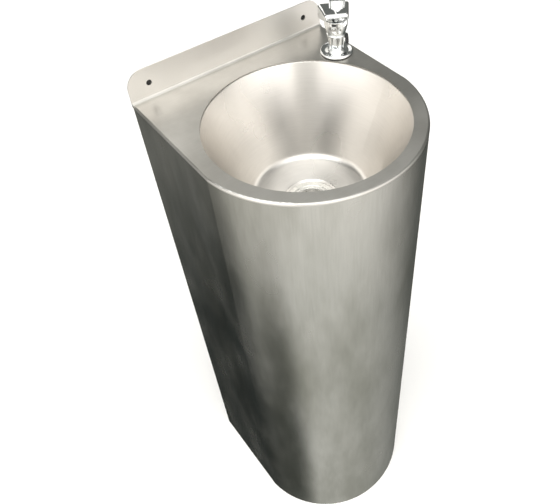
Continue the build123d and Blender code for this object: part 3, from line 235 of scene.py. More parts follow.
def stretched_noise(tree, scale, detail=3.0, roughness=0.55, offset=(0, 0, 0)):
    """Noise over the piece's own coordinates, with a scale for each axis, in cells per metre."""
    place = tree.nodes.new("ShaderNodeTexCoord")
    mapping = tree.nodes.new("ShaderNodeMapping")
    mapping.inputs["Scale"].default_value = scale
    mapping.inputs["Location"].default_value = offset
    texture = tree.nodes.new("ShaderNodeTexNoise")
    texture.inputs["Scale"].default_value = 1.0
    texture.inputs["Detail"].default_value = detail
    texture.inputs["Roughness"].default_value = roughness
    tree.links.new(place.outputs["Object"], mapping.inputs["Vector"])
    tree.links.new(mapping.outputs["Vector"], texture.inputs["Vector"])
    return texture.outputs["Fac"]


def add_bump(tree, shader, height, strength, distance):
    bump = tree.nodes.new("ShaderNodeBump")
    bump.inputs["Strength"].default_value = strength
    bump.inputs["Distance"].default_value = distance
    tree.links.new(height, bump.inputs["Height"])
    tree.links.new(bump.outputs["Normal"], shader.inputs["Normal"])


def steel(name, dark, light, cloud, grain, roughness, anisotropy=0.0, painted_light_above=None):
    """Satin stainless: soft clouds of tone, fine brushing and handling smudges, and, where a height is given, a
    painted highlight: a paler, rougher tone above it.
    """
    material, tree, shader = new_material(name)
    shader.inputs["Metallic"].default_value = 1.0
    clouds = stretched_noise(tree, cloud, detail=4.0, roughness=0.6)
    tone = link_map(tree, clouds, 0.3, 0.7, 0, 1)
    brushing = stretched_noise(tree, grain, detail=2.0)
    colour = link_mix(tree, tone, dark, light)
    streak = link_map(tree, brushing, 0.25, 0.75, 0.96, 1.03, smooth=False)
    streaked = tree.nodes.new("ShaderNodeVectorMath")
    streaked.operation = "SCALE"
    tree.links.new(colour, streaked.inputs[0])
    tree.links.new(streak, streaked.inputs["Scale"])
    finish = streaked.outputs[0]
    smudges = stretched_noise(tree, (13, 13, 7), detail=3.0, roughness=0.5, offset=(3, 1, 7))
    rough = link_map(tree, smudges, 0.3, 0.72, roughness - 0.03, roughness + 0.04)
    # Painted light: above this height the colour is lifted to a pale tone and roughened, standing in for the
    # stronger light falling on the deck's upstand.
    if painted_light_above:
        place = tree.nodes.new("ShaderNodeTexCoord")
        parts = tree.nodes.new("ShaderNodeSeparateXYZ")
        tree.links.new(place.outputs["Object"], parts.inputs[0])
        painted_light_share = link_map(tree, parts.outputs["Z"], painted_light_above, painted_light_above + 0.002, 0, 1)
        finish = link_mix(tree, painted_light_share, finish, (0.84, 0.82, 0.79))
        added = tree.nodes.new("ShaderNodeMath")
        added.operation = "MULTIPLY_ADD"
        added.inputs[1].default_value = 0.1
        tree.links.new(painted_light_share, added.inputs[0])
        tree.links.new(rough, added.inputs[2])
        rough = added.outputs[0]
    tree.links.new(finish, shader.inputs["Base Color"])
    tree.links.new(rough, shader.inputs["Roughness"])
    if anisotropy:
        shader.inputs["Anisotropic"].default_value = anisotropy
        shader.inputs["Anisotropic Rotation"].default_value = 0.25
        tangent = tree.nodes.new("ShaderNodeTangent")
        tangent.direction_type = "RADIAL"
        tangent.axis = "Z"
        tree.links.new(tangent.outputs[0], shader.inputs["Tangent"])
    add_bump(tree, shader, brushing, 0.1, 0.0001)
    return material


def chrome():
    """Mirror plating over a cast body, with a faint ripple."""
    material, tree, shader = new_material("chrome")
    shader.inputs["Metallic"].default_value = 1.0
    film = stretched_noise(tree, (160, 160, 120), detail=3.0)
    tree.links.new(link_mix(tree, film, (0.8, 0.82, 0.83), (0.93, 0.94, 0.94)), shader.inputs["Base Color"])
    wear = stretched_noise(tree, (420, 420, 300), detail=4.0)
    tree.links.new(link_map(tree, wear, 0.35, 0.75, 0.035, 0.11), shader.inputs["Roughness"])
    ripple = stretched_noise(tree, (110, 110, 90), detail=1.0)
    add_bump(tree, shader, ripple, 0.3, 0.0004)
    return material


def satin_metal(name, dark, light, roughness, scale=220):
    """Plain turned or drawn metal with tarnish and tool marks."""
    material, tree, shader = new_material(name)
    shader.inputs["Metallic"].default_value = 1.0
    tarnish = stretched_noise(tree, (scale / 4, scale / 4, scale / 5), detail=4.0)
    tree.links.new(link_mix(tree, link_map(tree, tarnish, 0.3, 0.7, 0, 1), dark, light),
                   shader.inputs["Base Color"])
    marks = stretched_noise(tree, (scale * 2, scale * 2, scale * 8), detail=2.0)
    tree.links.new(link_map(tree, marks, 0.3, 0.7, roughness - 0.06, roughness + 0.1),
                   shader.inputs["Roughness"])
    add_bump(tree, shader, marks, 0.2, 0.0001)
    return material


def moulded(name, dark, light, roughness, grain=900, sheen=0.0):
    """Moulded plastic or rubber: slight colour drift and a fine grain."""
    material, tree, shader = new_material(name)
    drift = stretched_noise(tree, (60, 60, 60), detail=3.0)
    tree.links.new(link_mix(tree, link_map(tree, drift, 0.3, 0.7, 0, 1), dark, light),
                   shader.inputs["Base Color"])
    texture = stretched_noise(tree, (grain, grain, grain), detail=2.0)
    tree.links.new(link_map(tree, texture, 0.3, 0.7, roughness - 0.06, roughness + 0.08),
                   shader.inputs["Roughness"])
    if sheen:
        shader.inputs["Sheen Weight"].default_value = sheen
    add_bump(tree, shader, texture, 0.25, 0.00012)
    return material


def make_materials():
    warm, pale = (0.42, 0.418, 0.375), (0.7, 0.69, 0.66)
    return {
        "casing_steel": steel("casing_steel", warm, pale, (8, 8, 2.4), (520, 520, 26), 0.24),
        # deck_steel: painted light makes the upstand above 0.903 m paler
        "deck_steel": steel("deck_steel", (0.52, 0.51, 0.48), (0.64, 0.63, 0.6), (11, 11, 11),
                            (26, 900, 900), 0.32, painted_light_above=0.903),
        "bowl_steel": steel("bowl_steel", (0.72, 0.7, 0.67), (0.78, 0.76, 0.73), (10, 10, 3),
                            (40, 40, 1300), 0.3, anisotropy=0.6),
        "bracket_steel": satin_metal("bracket_steel", (0.42, 0.42, 0.4), (0.56, 0.56, 0.54), 0.42),
        "waste_steel": satin_metal("waste_steel", (0.6, 0.6, 0.57), (0.74, 0.73, 0.7), 0.24),
        "screw_steel": satin_metal("screw_steel", (0.5, 0.5, 0.48), (0.66, 0.65, 0.62), 0.28, 600),
        "chrome": chrome(),
        "black_plastic": moulded("black_plastic", (0.012, 0.012, 0.013), (0.024, 0.024, 0.025), 0.38),
        "white_plastic": moulded("white_plastic", (0.72, 0.72, 0.69), (0.8, 0.8, 0.78), 0.42, 700),
        "seal_rubber": moulded("seal_rubber", (0.018, 0.018, 0.018), (0.035, 0.034, 0.033), 0.62, 1200, 0.2),
        "brass": satin_metal("brass", (0.55, 0.38, 0.14), (0.74, 0.55, 0.25), 0.3, 300),
        "nickel_brass": satin_metal("nickel_brass", (0.58, 0.56, 0.5), (0.72, 0.7, 0.65), 0.26, 300),
        "copper_tube": satin_metal("copper_tube", (0.6, 0.27, 0.15), (0.82, 0.45, 0.3), 0.3, 200),
        "ptfe": moulded("ptfe", (0.78, 0.78, 0.76), (0.86, 0.86, 0.85), 0.45, 500),
        "lever_red": moulded("lever_red", (0.42, 0.03, 0.025), (0.55, 0.05, 0.04), 0.4, 800),
    }


def slot_of_nodes():
    """Each node's material slot, as the record gives it."""
    return {part["node"]: part["material_slot"] for part in frame["record"]["subparts"]}


def dress_nodes(materials):
    for name, slot in slot_of_nodes().items():
        data = nodes[name].data
        data.materials.clear()
        data.materials.append(materials[slot])


# ---------------------------------------------------------------- mesh helpers (outlines in millimetres)
def rounded(points, closed=True, steps=5):
    """Outline points (across, height, corner radius) as plain points, with the corners rounded."""
    outline = []
    for index, (across, height, radius) in enumerate(points):
        corner = Vector((across, height))
        at_end = index in (0, len(points) - 1) and not closed
        if not radius or at_end:
            outline.append(corner)
            continue
        before = (Vector(points[index - 1][:2]) - corner).normalized()
        after = (Vector(points[(index + 1) % len(points)][:2]) - corner).normalized()
        half = before.angle(after) / 2
        middle = corner + (before + after).normalized() * radius / math.sin(half)
        start = corner + before * radius / math.tan(half) - middle
        sweep = start.angle_signed(corner + after * radius / math.tan(half) - middle)
        for step in range(steps + 1):
            turn = Matrix.Rotation(-sweep * step / steps, 2)
            outline.append(middle + turn @ start)
    return outline


def ring_grid(rows, closed_rows=False):
    """A bmesh of quads between rows of points; a row of one point closes to a tip."""
    bm = bmesh.new()
    made = [[bm.verts.new(point) for point in row] for row in rows]
    pairs = list(zip(made, made[1:]))
    if closed_rows:
        pairs.append((made[-1], made[0]))
    for lower, upper in pairs:
        count = max(len(lower), len(upper))
        for index in range(count):
            step = (index + 1) % count
            corners = [lower[index % len(lower)], lower[step % len(lower)],
                       upper[step % len(upper)], upper[index % len(upper)]]
            corners = list(dict.fromkeys(corners))
            if len(corners) > 2:
                bm.faces.new(corners)
    bmesh.ops.recalc_face_normals(bm, faces=bm.faces)
    return bm


def turned(profile, steps=96, closed=True, knurl=None):
    """A lathe form round Z; knurl(radius, height, angle) may change the radius."""
    rows = []
    for radius, height in profile:
        if radius < 1e-5:
            rows.append([(0, 0, height)])
            continue
        row = []
        for step in range(steps):
            angle = 2 * math.pi * step / steps
            reach = knurl(radius, height, angle) if knurl else radius
            row.append((reach * math.cos(angle), reach * math.sin(angle), height))
        rows.append(row)
    return ring_grid(rows, closed_rows=closed)


def threaded(root, crest, pitch, foot, top, bore, steps=64):
    """A screw thread between two heights, with a plain bore, blunt at both ends."""
    turns = (top - foot) / pitch
    rows = []
    count = int(turns * 6)
    for index in range(count + 1):
        height = foot + (top - foot) * index / count
        row = []
        for step in range(steps):
            share = step / steps
            wave = abs(2 * ((height / pitch - share) % 1) - 1)
            ends = min(1, (height - foot) / pitch, (top - height) / pitch)
            reach = root + (crest - root) * wave * ends
            angle = 2 * math.pi * share
            row.append((reach * math.cos(angle), reach * math.sin(angle), height))
        rows.append(row)
    for height in (top, foot):
        rows.append([(bore * math.cos(2 * math.pi * step / steps),
                      bore * math.sin(2 * math.pi * step / steps), height) for step in range(steps)])
    return ring_grid(rows, closed_rows=True)


def bake(piece):
    """Applies the piece's modifiers."""
    graph = bpy.context.evaluated_depsgraph_get()
    mesh = bpy.data.meshes.new_from_object(piece.evaluated_get(graph))
    piece.modifiers.clear()
    old = piece.data
    piece.data = mesh
    bpy.data.meshes.remove(old)


def carve(piece, tool, how="DIFFERENCE"):
    """Cuts the tool out of the piece, or joins it on, and removes the tool."""
    cut = piece.modifiers.new("carve", "BOOLEAN")
    cut.operation = how
    cut.solver = "EXACT"
    cut.object = tool
    bake(piece)
    mesh = tool.data
    bpy.data.objects.remove(tool)
    bpy.data.meshes.remove(mesh)


def loose(name, bm, matrix=Matrix()):
    """An object from a bmesh, in its own local frame, in millimetres."""
    mesh = bpy.data.meshes.new(name)
    bm.to_mesh(mesh)
    bm.free()
    mesh.transform(matrix)
    piece = bpy.data.objects.new(name, mesh)
    bpy.context.collection.objects.link(piece)
    return piece


def settle(piece, local, body, slot, replaced=(), sharp=40):
    """Puts a millimetre piece in its place in metres, with its finish and its body."""
    piece.data.transform(local @ Matrix.Scale(MM, 4))
    piece.data.shade_smooth()
    piece.data.set_sharp_from_angle(angle=math.radians(sharp))
    piece.data.materials.clear()
    piece.data.materials.append(materials[slot])
    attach(piece, body)
    if replaced:
        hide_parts(*replaced)
    return piece


def block(size, place=(0, 0, 0), bevel=0.0):
    """A bmesh box, its edges rounded where a bevel is given."""
    bm = bmesh.new()
    bmesh.ops.create_cube(bm, size=1)
    bmesh.ops.scale(bm, vec=size, verts=bm.verts)
    if bevel:
        bmesh.ops.bevel(bm, geom=list(bm.edges), offset=bevel, segments=4, affect="EDGES")
    bmesh.ops.translate(bm, vec=place, verts=bm.verts)
    return bm


def drum(radius, depth, place, steps=96):
    """A bmesh cylinder along Z, centred on its place."""
    bm = bmesh.new()
    bmesh.ops.create_cone(bm, cap_ends=True, segments=steps, radius1=radius, radius2=radius, depth=depth,
                          matrix=Matrix.Translation(place))
    return bm


def frame_of(place, across, up):
    """A local frame: Z along up, X along across."""
    up = Vector(up).normalized()
    across = Vector(across).normalized()
    third = up.cross(across)
    turn = Matrix((across, third, up)).transposed().to_4x4()
    return Matrix.Translation(place) @ turn


def smooth_low(one, other, blend):
    share = max(blend - abs(one - other), 0) / blend
    return min(one, other) - share * share * blend / 4


def smooth_high(one, other, blend):
    return -smooth_low(-one, -other, blend)


def smooth_share(value, start, end):
    share = min(max((value - start) / (end - start), 0), 1)
    return share * share * (3 - 2 * share)


# ---------------------------------------------------------------- bubbler tap
COLUMN_BACK = 8.0        # push-button axis behind the bubbler's axis
COLUMN_RIGHT = 3.0       # and to the right of it
COLUMN_RADIUS, COLUMN_TAPER = 11.5, 4.0
COLUMN_THREAD_ROOT, COLUMN_THREAD_CREST, COLUMN_PITCH = 8.9, 9.55, 1.2
COLUMN_TOP = 74.0
CARTRIDGE_BORE = 8.2
BODY_FOOT = 3.0          # foot of the casting, inside the flange
BODY_FOOT_RADIUS = 9.8
STEM_START = 7.0         # top of the flange
GUARD_TOP = 70.0
GUARD_SHEET = 1.8
STEM_FOOT, STEM_HEAD = 10.0, 12.4
LIP_HEIGHT = 28.0
LIP_RADIUS = 13.6
CUP_FOOT = 31.0
CUP_TOP = 52.0
CUP_BELLY = 16.3
CUP_IN = 0.5             # how far the cup draws in at its top
CUP_FALL = 2.6           # height of the rounding over the cup's top
SHANK_LENGTH = 50.0
SHANK_ROOT, SHANK_CREST, SHANK_PITCH, SHANK_BORE = 8.3, 8.95, 1.8, 5.1
NOZZLE_RIGHT, NOZZLE_FRONT, NOZZLE_RISE, NOZZLE_TILT = 6.0, 9.5, 51.5, 50.0
SCALLOPS = ((-20, 41.0), (13, 40.5))       # turn from the front, height
SCALLOP_REACH = 18.6
SCALLOP_RADIUS, SCALLOP_HEIGHT = 5.0, 6.8
SLOT_TURN, SLOT_RISE = -18.0, 49.4
SLOT_SIZE, SLOT_REACH, SLOT_BEVEL = (7.4, 10, 2.6), 15.5, 0.9
# size and reach of the dark plate that paints the shade inside the drain slot
SLOT_SHADE_SIZE, SLOT_SHADE_REACH = (7.2, 6, 2.4), 11.4
BOSS_RADIUS, BOSS_DEPTH, BOSS_RIM = 8.3, 9.0, 0.4
POCKET_RADIUS, POCKET_DEPTH = 6.6, 2.6
KNOB_BOSS_RADIUS, KNOB_BOSS_END = 4.5, 12.6


def bubbler_frames():
    """Local frames of the tap: its axis, the push-button's axis, the nozzle and the flow knob."""
    low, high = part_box("bubbler_flange")
    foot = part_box("bubbler_gasket")[0].z
    place = Vector(((low.x + high.x) / 2, (low.y + high.y) / 2, foot))
    turning = next(joint for joint in frame["joints"] if joint["name"] == "flow_knob_turn")
    right = Vector(turning["axis"])
    back = Vector((0, 0, 1)).cross(right)
    tilt = math.radians(NOZZLE_TILT)
    jet = -back * math.sin(tilt) + Vector((0, 0, math.cos(tilt)))
    mouth = place + (right * NOZZLE_RIGHT - back * NOZZLE_FRONT + Vector((0, 0, NOZZLE_RISE))) * MM
    return {
        "axis": frame_of(place, right, (0, 0, 1)),
        "column": frame_of(place + (back * COLUMN_BACK + right * COLUMN_RIGHT) * MM, right, (0, 0, 1)),
        "nozzle": frame_of(mouth, right, jet),
        "knob": frame_of(Vector(turning["pos_m"]), back, right),
    }


def stem_radius(turn, height):
    """Six rounded panels, parted by flutes that deepen and widen upwards."""
    rise = (height - STEM_START) / (LIP_HEIGHT - STEM_START)
    crest = STEM_FOOT + (STEM_HEAD - STEM_FOOT) * rise ** 0.9
    to_groove = (math.degrees(turn) + 30) % 60 - 30
    distance = abs(math.radians(to_groove)) * crest
    width = 0.3 + 2.6 * rise
    flute = max(0, 1 - distance / width)
    depth = (0.2 + 3.4 * rise) * flute ** 0.9
    crown = 0.35 * math.cos(math.radians(to_groove * 6))
    return crest - depth - crown * rise


def head_radius(turn, height):
    """The lip, the cup with its two scallops, and the column behind it."""
    waist = LIP_RADIUS - 1
    if height < CUP_FOOT:
        swell = 1 - ((height - (LIP_HEIGHT + CUP_FOOT) / 2) / 1.5) ** 2
        cup = waist + math.sqrt(max(swell, 0))
    elif height <= CUP_TOP:
        share = (height - CUP_FOOT) / (CUP_TOP - CUP_FOOT)
        cup = waist + (CUP_BELLY - waist) * math.sin(math.pi / 2 * min(1, share * 1.35))
        cup -= CUP_IN * smooth_share(share, 0.7, 1)
    else:
        fall = min((height - CUP_TOP) / CUP_FALL, 1)
        cup = (CUP_BELLY - CUP_IN) * math.sqrt(max(1 - fall * fall, 0))
    for scallop_turn, scallop_height in SCALLOPS:
        aside = turn - math.radians(scallop_turn)
        rise = (height - scallop_height) / SCALLOP_HEIGHT
        room = (1 - rise * rise) * SCALLOP_RADIUS**2 - (SCALLOP_REACH * math.sin(aside)) ** 2
        if room > 0 and abs(aside) < math.pi / 2:
            cup = smooth_low(cup, SCALLOP_REACH * math.cos(aside) - math.sqrt(room), 0.4)
    column_radius = COLUMN_RADIUS - (GUARD_TOP - GUARD_SHEET - height) * math.tan(math.radians(COLUMN_TAPER))
    towards = COLUMN_RIGHT * math.sin(turn) - COLUMN_BACK * math.cos(turn)
    spread = column_radius**2 - COLUMN_RIGHT**2 - COLUMN_BACK**2 + towards**2
    column = towards + math.sqrt(max(spread, 0))
    return smooth_high(max(cup, 0.5), column, 1.6)


def body_rows():
    """Heights of the body's rows, close together where the form turns quickly."""
    cup_end = CUP_TOP + 2.7
    stretches = ((STEM_START, LIP_HEIGHT, 26), (LIP_HEIGHT, CUP_FOOT, 12), (CUP_FOOT, CUP_TOP, 48),
                 (CUP_TOP, cup_end, 22), (cup_end, GUARD_TOP - GUARD_SHEET, 10))
    heights = []
    for start, end, count in stretches:
        heights += [start + (end - start) * step / count for step in range(count)]
    return heights + [GUARD_TOP - GUARD_SHEET]


def on_tap(places, name):
    """Another local frame of the tap, seen from the tap's axis, in millimetres."""
    local = places["axis"].inverted() @ places[name]
    local.translation /= MM
    return local


def body_form():
    """The casting's outer form, from its foot to the top of the column."""
    steps = 180
    foot = []
    for step in range(steps):
        turn = 2 * math.pi * step / steps
        foot.append((BODY_FOOT_RADIUS * math.cos(turn), BODY_FOOT_RADIUS * math.sin(turn), BODY_FOOT))
    rows = [[(0, 0, BODY_FOOT)], foot]
    for height in body_rows():
        row = []
        for step in range(steps):
            turn = 2 * math.pi * step / steps - math.pi
            reach = stem_radius(turn, height) if height < LIP_HEIGHT else head_radius(turn, height)
            row.append((reach * math.sin(turn), -reach * math.cos(turn), height))
        rows.append(row)
    rows.append([(COLUMN_RIGHT, COLUMN_BACK, rows[-1][0][2])])
    return ring_grid(rows)


def make_bubbler_body(places):
    """The casting with its nozzle boss, cartridge bore, drain slot and knob boss, and its two threads."""
    body = loose("tap_body", body_form())
    boss = rounded([(0, -BOSS_DEPTH, 0), (BOSS_RADIUS, -BOSS_DEPTH, 0), (BOSS_RADIUS, BOSS_RIM, 1.2),
                    (0, BOSS_RIM, 0)], closed=False)
    carve(body, loose("boss", turned(boss, closed=False), on_tap(places, "nozzle")), "UNION")
    pocket = rounded([(0, -POCKET_DEPTH, 0), (POCKET_RADIUS, -POCKET_DEPTH, 0), (POCKET_RADIUS, 3, 0),
                      (0, 3, 0)], closed=False)
    carve(body, loose("pocket", turned(pocket, closed=False), on_tap(places, "nozzle")))
    carve(body, loose("bore", drum(CARTRIDGE_BORE, 20, (COLUMN_RIGHT, COLUMN_BACK, 68))))
    turn = Matrix.Rotation(math.radians(SLOT_TURN), 4, "Z")
    slot_place = Matrix.Translation((0, -SLOT_REACH, SLOT_RISE))
    carve(body, loose("slot", block(SLOT_SIZE, bevel=SLOT_BEVEL), turn @ slot_place))
    knob_boss = rounded([(0, 0, 0), (KNOB_BOSS_RADIUS, 0, 0), (KNOB_BOSS_RADIUS, KNOB_BOSS_END, 0.8),
                         (0, KNOB_BOSS_END, 0)], closed=False)
    carve(body, loose("knob_boss", turned(knob_boss, 48, closed=False), on_tap(places, "knob")), "UNION")
    settle(body, places["axis"], "root", "chrome", ["bubbler_body"], sharp=50)
    # Painted shade: a dark plate sunk in the drain slot, standing in for the shade inside the hollow behind it.
    shade_plate = loose("slot_shade_plate", block(SLOT_SHADE_SIZE, (0, -SLOT_SHADE_REACH, SLOT_RISE)), turn)
    settle(shade_plate, places["axis"], "root", "black_plastic")
    shank = threaded(SHANK_ROOT, SHANK_CREST, SHANK_PITCH, -SHANK_LENGTH, BODY_FOOT, SHANK_BORE)
    settle(loose("tap_shank", shank), places["axis"], "root", "chrome")
    thread = threaded(COLUMN_THREAD_ROOT, COLUMN_THREAD_CREST, COLUMN_PITCH, GUARD_TOP - GUARD_SHEET,
                      COLUMN_TOP, CARTRIDGE_BORE, 72)
    settle(loose("column_thread", thread), places["column"], "root", "chrome")


def make_flange(places):
    """The stepped flange round the foot of the stem."""
    profile = rounded(
        [(9.2, 1, 0), (22.8, 1, 0.5), (24, 2.8, 1.4), (22.4, 5.25, 1.0), (20.4, 4.7, 1.6),
         (17.4, 3.4, 2.6), (14.3, 3.9, 1.6), (12.9, 5.3, 0.8), (12.5, 7, 0.6), (9.2, 7, 0)], steps=6,
    )
    flange = loose("tap_flange", turned(profile, 128))
    settle(flange, places["axis"], "root", "chrome", ["bubbler_flange"])


GUARD_BACK, GUARD_FRONT = -9.0, 23.0        # reach of the hood from the tap's axis
GUARD_BACK_HALF, GUARD_FRONT_HALF = 21.5, 16.0
GUARD_SHIFT = -2.0
GUARD_CORNER = 5.0
GUARD_SHOULDER = 3.0
GUARD_OPENING = 9.7                         # round the column's thread
SKIRT_BACK, SKIRT_FRONT, LIP_FOOT = 51.0, 59.0, 66.0
ROOF_FALL, ROOF_FALL_START = 1.3, 4.0
RIB_START, RIB_END = 5.5, 20.0
RIB_LAYERS = ((1.5, -1.0), (1.5, 0.35), (1.3, 0.7), (0.9, 0.85))      # half width, height over the roof


def guard_outline():
    """Half the hood's plan, back to front: distance across, reach, outward turn and skirt foot."""
    lean = math.atan2(GUARD_BACK_HALF - GUARD_FRONT_HALF, GUARD_FRONT - GUARD_BACK)
    bend_start = GUARD_FRONT - GUARD_CORNER
    outline = []
    for step in range(13):
        share = step / 12
        reach = GUARD_BACK + (bend_start - GUARD_BACK) * share
        across = GUARD_BACK_HALF - (reach - GUARD_BACK) * math.tan(lean)
        outline.append((across, reach, math.pi / 2 - lean,
                        SKIRT_BACK + (SKIRT_FRONT - SKIRT_BACK) * share))
    middle = outline[-1][0] - GUARD_CORNER * math.cos(lean)
    for step in range(1, 10):
        turn = (math.pi / 2 - lean) * (1 - step / 9)
        foot = SKIRT_FRONT + (LIP_FOOT - SKIRT_FRONT) * smooth_share(step / 9, 0, 0.8)
        outline.append((middle + GUARD_CORNER * math.sin(turn), bend_start + GUARD_CORNER * math.cos(turn),
                        turn, foot))
    for step in range(1, 5):
        outline.append((middle * (1 - step / 4), GUARD_FRONT, 0, LIP_FOOT))
    return outline


def roof_height(reach):
    """The hood's roof falls a little towards the front."""
    return GUARD_TOP - ROOF_FALL * smooth_share(reach, ROOF_FALL_START, GUARD_FRONT)


def guard_section(across, reach, turn, foot):
    """One strip of the hood, from the foot of its skirt over the shoulder to the spine."""
    outward = Vector((math.sin(turn), math.cos(turn)))
    edge = Vector((across, reach))
    inner = edge - outward * GUARD_SHOULDER
    spine = Vector((0, min(reach, GUARD_FRONT - 12)))
    shoulder_foot = roof_height(reach) - GUARD_SHOULDER
    section = [(edge.x, edge.y, foot + (shoulder_foot - foot) * step / 4) for step in range(5)]
    for step in range(1, 7):
        bend = math.pi / 2 * step / 6
        point = edge - outward * GUARD_SHOULDER * (1 - math.cos(bend))
        section.append((point.x, point.y, shoulder_foot + GUARD_SHOULDER * math.sin(bend)))
    for step in range(1, 7):
        point = inner + (spine - inner) * step / 6
        section.append((point.x, point.y, roof_height(point.y)))
    return section


def rib_form():
    """The raised rib along the roof, with round ends."""
    outline = []
    for step in range(32):
        angle = 2 * math.pi * step / 32
        end = RIB_END if math.sin(angle) > 0 else RIB_START
        outline.append((math.cos(angle), math.sin(angle), end))
    rows = []
    for half, rise in RIB_LAYERS:
        rows.append([(GUARD_SHIFT + half * across, -(end + half * along), roof_height(end) + rise)
                     for across, along, end in outline])
    middle = 12
    foot = [(GUARD_SHIFT, -middle, roof_height(middle) + RIB_LAYERS[0][1])]
    top = [(GUARD_SHIFT, -middle, roof_height(middle) + RIB_LAYERS[-1][1])]
    return ring_grid([foot] + rows + [top])


def make_guard(places):
    """A pressed hood: a falling roof with a rib, rounded shoulders, two skirts and a short front lip."""
    right = [guard_section(*point) for point in guard_outline()]
    left = [[(-x, y, z) for x, y, z in section] for section in right[:-1]]
    rows = left + right[::-1]
    bm = bmesh.new()
    made = [[bm.verts.new((x + GUARD_SHIFT, -y, z)) for x, y, z in row] for row in rows]
    for one, other in zip(made, made[1:]):
        for low in range(len(one) - 1):
            bm.faces.new((one[low], other[low], other[low + 1], one[low + 1]))
    bmesh.ops.remove_doubles(bm, verts=bm.verts, dist=0.01)
    bmesh.ops.recalc_face_normals(bm, faces=bm.faces)
    middle = min(bm.faces, key=lambda face: (face.calc_center_median() - Vector((0, 0, GUARD_TOP))).length)
    if middle.normal.z < 0:
        bmesh.ops.reverse_faces(bm, faces=bm.faces)
    guard = loose("tap_guard", bm)
    sheet = guard.modifiers.new("sheet", "SOLIDIFY")
    sheet.thickness = GUARD_SHEET
    sheet.offset = -1
    edge = guard.modifiers.new("edge", "BEVEL")
    edge.width = 0.35
    edge.segments = 3
    edge.limit_method = "ANGLE"
    edge.angle_limit = math.radians(60)
    bake(guard)
    carve(guard, loose("rib", rib_form()), "UNION")
    carve(guard, loose("opening", drum(GUARD_OPENING, 8, (COLUMN_RIGHT, COLUMN_BACK, GUARD_TOP))))
    settle(guard, places["axis"], "root", "chrome", ["mouth_guard"], sharp=60)


COLLAR_RADIUS, COLLAR_TOP, COLLAR_INSIDE = 11.0, 77.5, 9.7
COLLAR_GRIPS, COLLAR_GRIP_DEPTH = 18, 0.8
WIPER_RADIUS, WIPER_FOOT = 9.4, 76.0
BUTTON_HOLE, COLLAR_LEDGE = 6.8, 74.6
BUTTON_RADIUS, BUTTON_TOP, BUTTON_DOME = 6.5, 84.5, 2.0
BUTTON_FLANGE, BUTTON_SHOULDER, BUTTON_FOOT = 7.9, 74.3, 71.5
STEM_HOLE, STEM_HOLE_TOP = 1.6, 76.3
DOME_SWEEP = 0.55                           # half the dome's arc, in radians


def make_collar(places):
    """The chrome collar with its finger grips, and the black wiper ring in its top."""
    def knurl(radius, height, angle):
        grip = smooth_share(radius, 10.4, 10.9) * (1 - smooth_share(height, 75.6, 76.4))
        return radius - COLLAR_GRIP_DEPTH * grip * max(0, math.cos(COLLAR_GRIPS * angle)) ** 0.6

    profile = rounded([
        (COLLAR_INSIDE, GUARD_TOP, 0), (COLLAR_RADIUS, GUARD_TOP, 0.3), (COLLAR_RADIUS, 76.2, 0.5),
        (COLLAR_INSIDE, COLLAR_TOP, 0.7), (WIPER_RADIUS, COLLAR_TOP, 0), (WIPER_RADIUS, WIPER_FOOT, 0),
        (BUTTON_HOLE, WIPER_FOOT, 0), (BUTTON_HOLE, COLLAR_LEDGE, 0), (COLLAR_INSIDE, COLLAR_LEDGE, 0),
    ])
    collar = loose("button_ring", turned(profile, 216, knurl=knurl))
    settle(collar, places["column"], "root", "chrome", ["button_collar"])
    edge, top = WIPER_RADIUS - 0.1, COLLAR_TOP - 0.1
    seal = rounded([
        (BUTTON_HOLE, WIPER_FOOT, 0), (edge, WIPER_FOOT, 0), (edge, top, 0.4), (BUTTON_HOLE, top, 0.7),
    ])
    wiper = loose("wiper_ring", turned(seal, 96))
    settle(wiper, places["column"], "root", "black_plastic", ["button_wiper"])


def make_button(places):
    """The push button: a domed cap, with a flange that the collar keeps in."""
    edge = math.cos(DOME_SWEEP)
    dome = []
    for step in range(9):
        bend = step / 8 * DOME_SWEEP
        rise = BUTTON_DOME * (math.cos(bend) - edge) / (1 - edge)
        across = BUTTON_RADIUS * math.sin(bend) / math.sin(DOME_SWEEP)
        dome.append(Vector((across, BUTTON_TOP - BUTTON_DOME + rise)))
    skirt = rounded([
        (BUTTON_RADIUS, 82.4, 0), (BUTTON_RADIUS, BUTTON_SHOULDER, 0.3),
        (BUTTON_FLANGE, BUTTON_SHOULDER, 0.3), (BUTTON_FLANGE, BUTTON_FOOT, 0.3),
        (STEM_HOLE, BUTTON_FOOT, 0), (STEM_HOLE, STEM_HOLE_TOP, 0), (0, STEM_HOLE_TOP, 0),
    ], closed=False)
    button = loose("button_cap", turned(dome + skirt, closed=False))
    settle(button, places["column"], "button", "chrome", ["push_button"])


NOZZLE_RADIUS, NOZZLE_BORE, NOZZLE_STAND, NOZZLE_SUNK = 6.5, 3.5, 4.0, 2.5


def make_nozzle(places):
    """The short round nozzle in the cup."""
    profile = rounded([
        (NOZZLE_BORE, NOZZLE_STAND, 0.8), (NOZZLE_RADIUS, NOZZLE_STAND, 1.2),
        (NOZZLE_RADIUS, -NOZZLE_SUNK, 0.3), (NOZZLE_BORE, -NOZZLE_SUNK, 0.2),
    ])
    jet = loose("tap_nozzle", turned(profile, 96))
    settle(jet, places["nozzle"], "root", "chrome", ["nozzle"])


KNOB_START, KNOB_END, KNOB_RADIUS = 12.9, 16.7, 7.5
KNOB_FACE, KNOB_FLUTES, KNOB_FLUTE_DEPTH = 16.3, 12, 0.9
KNOB_SLOT = (7.5, 1.4, 2.2)


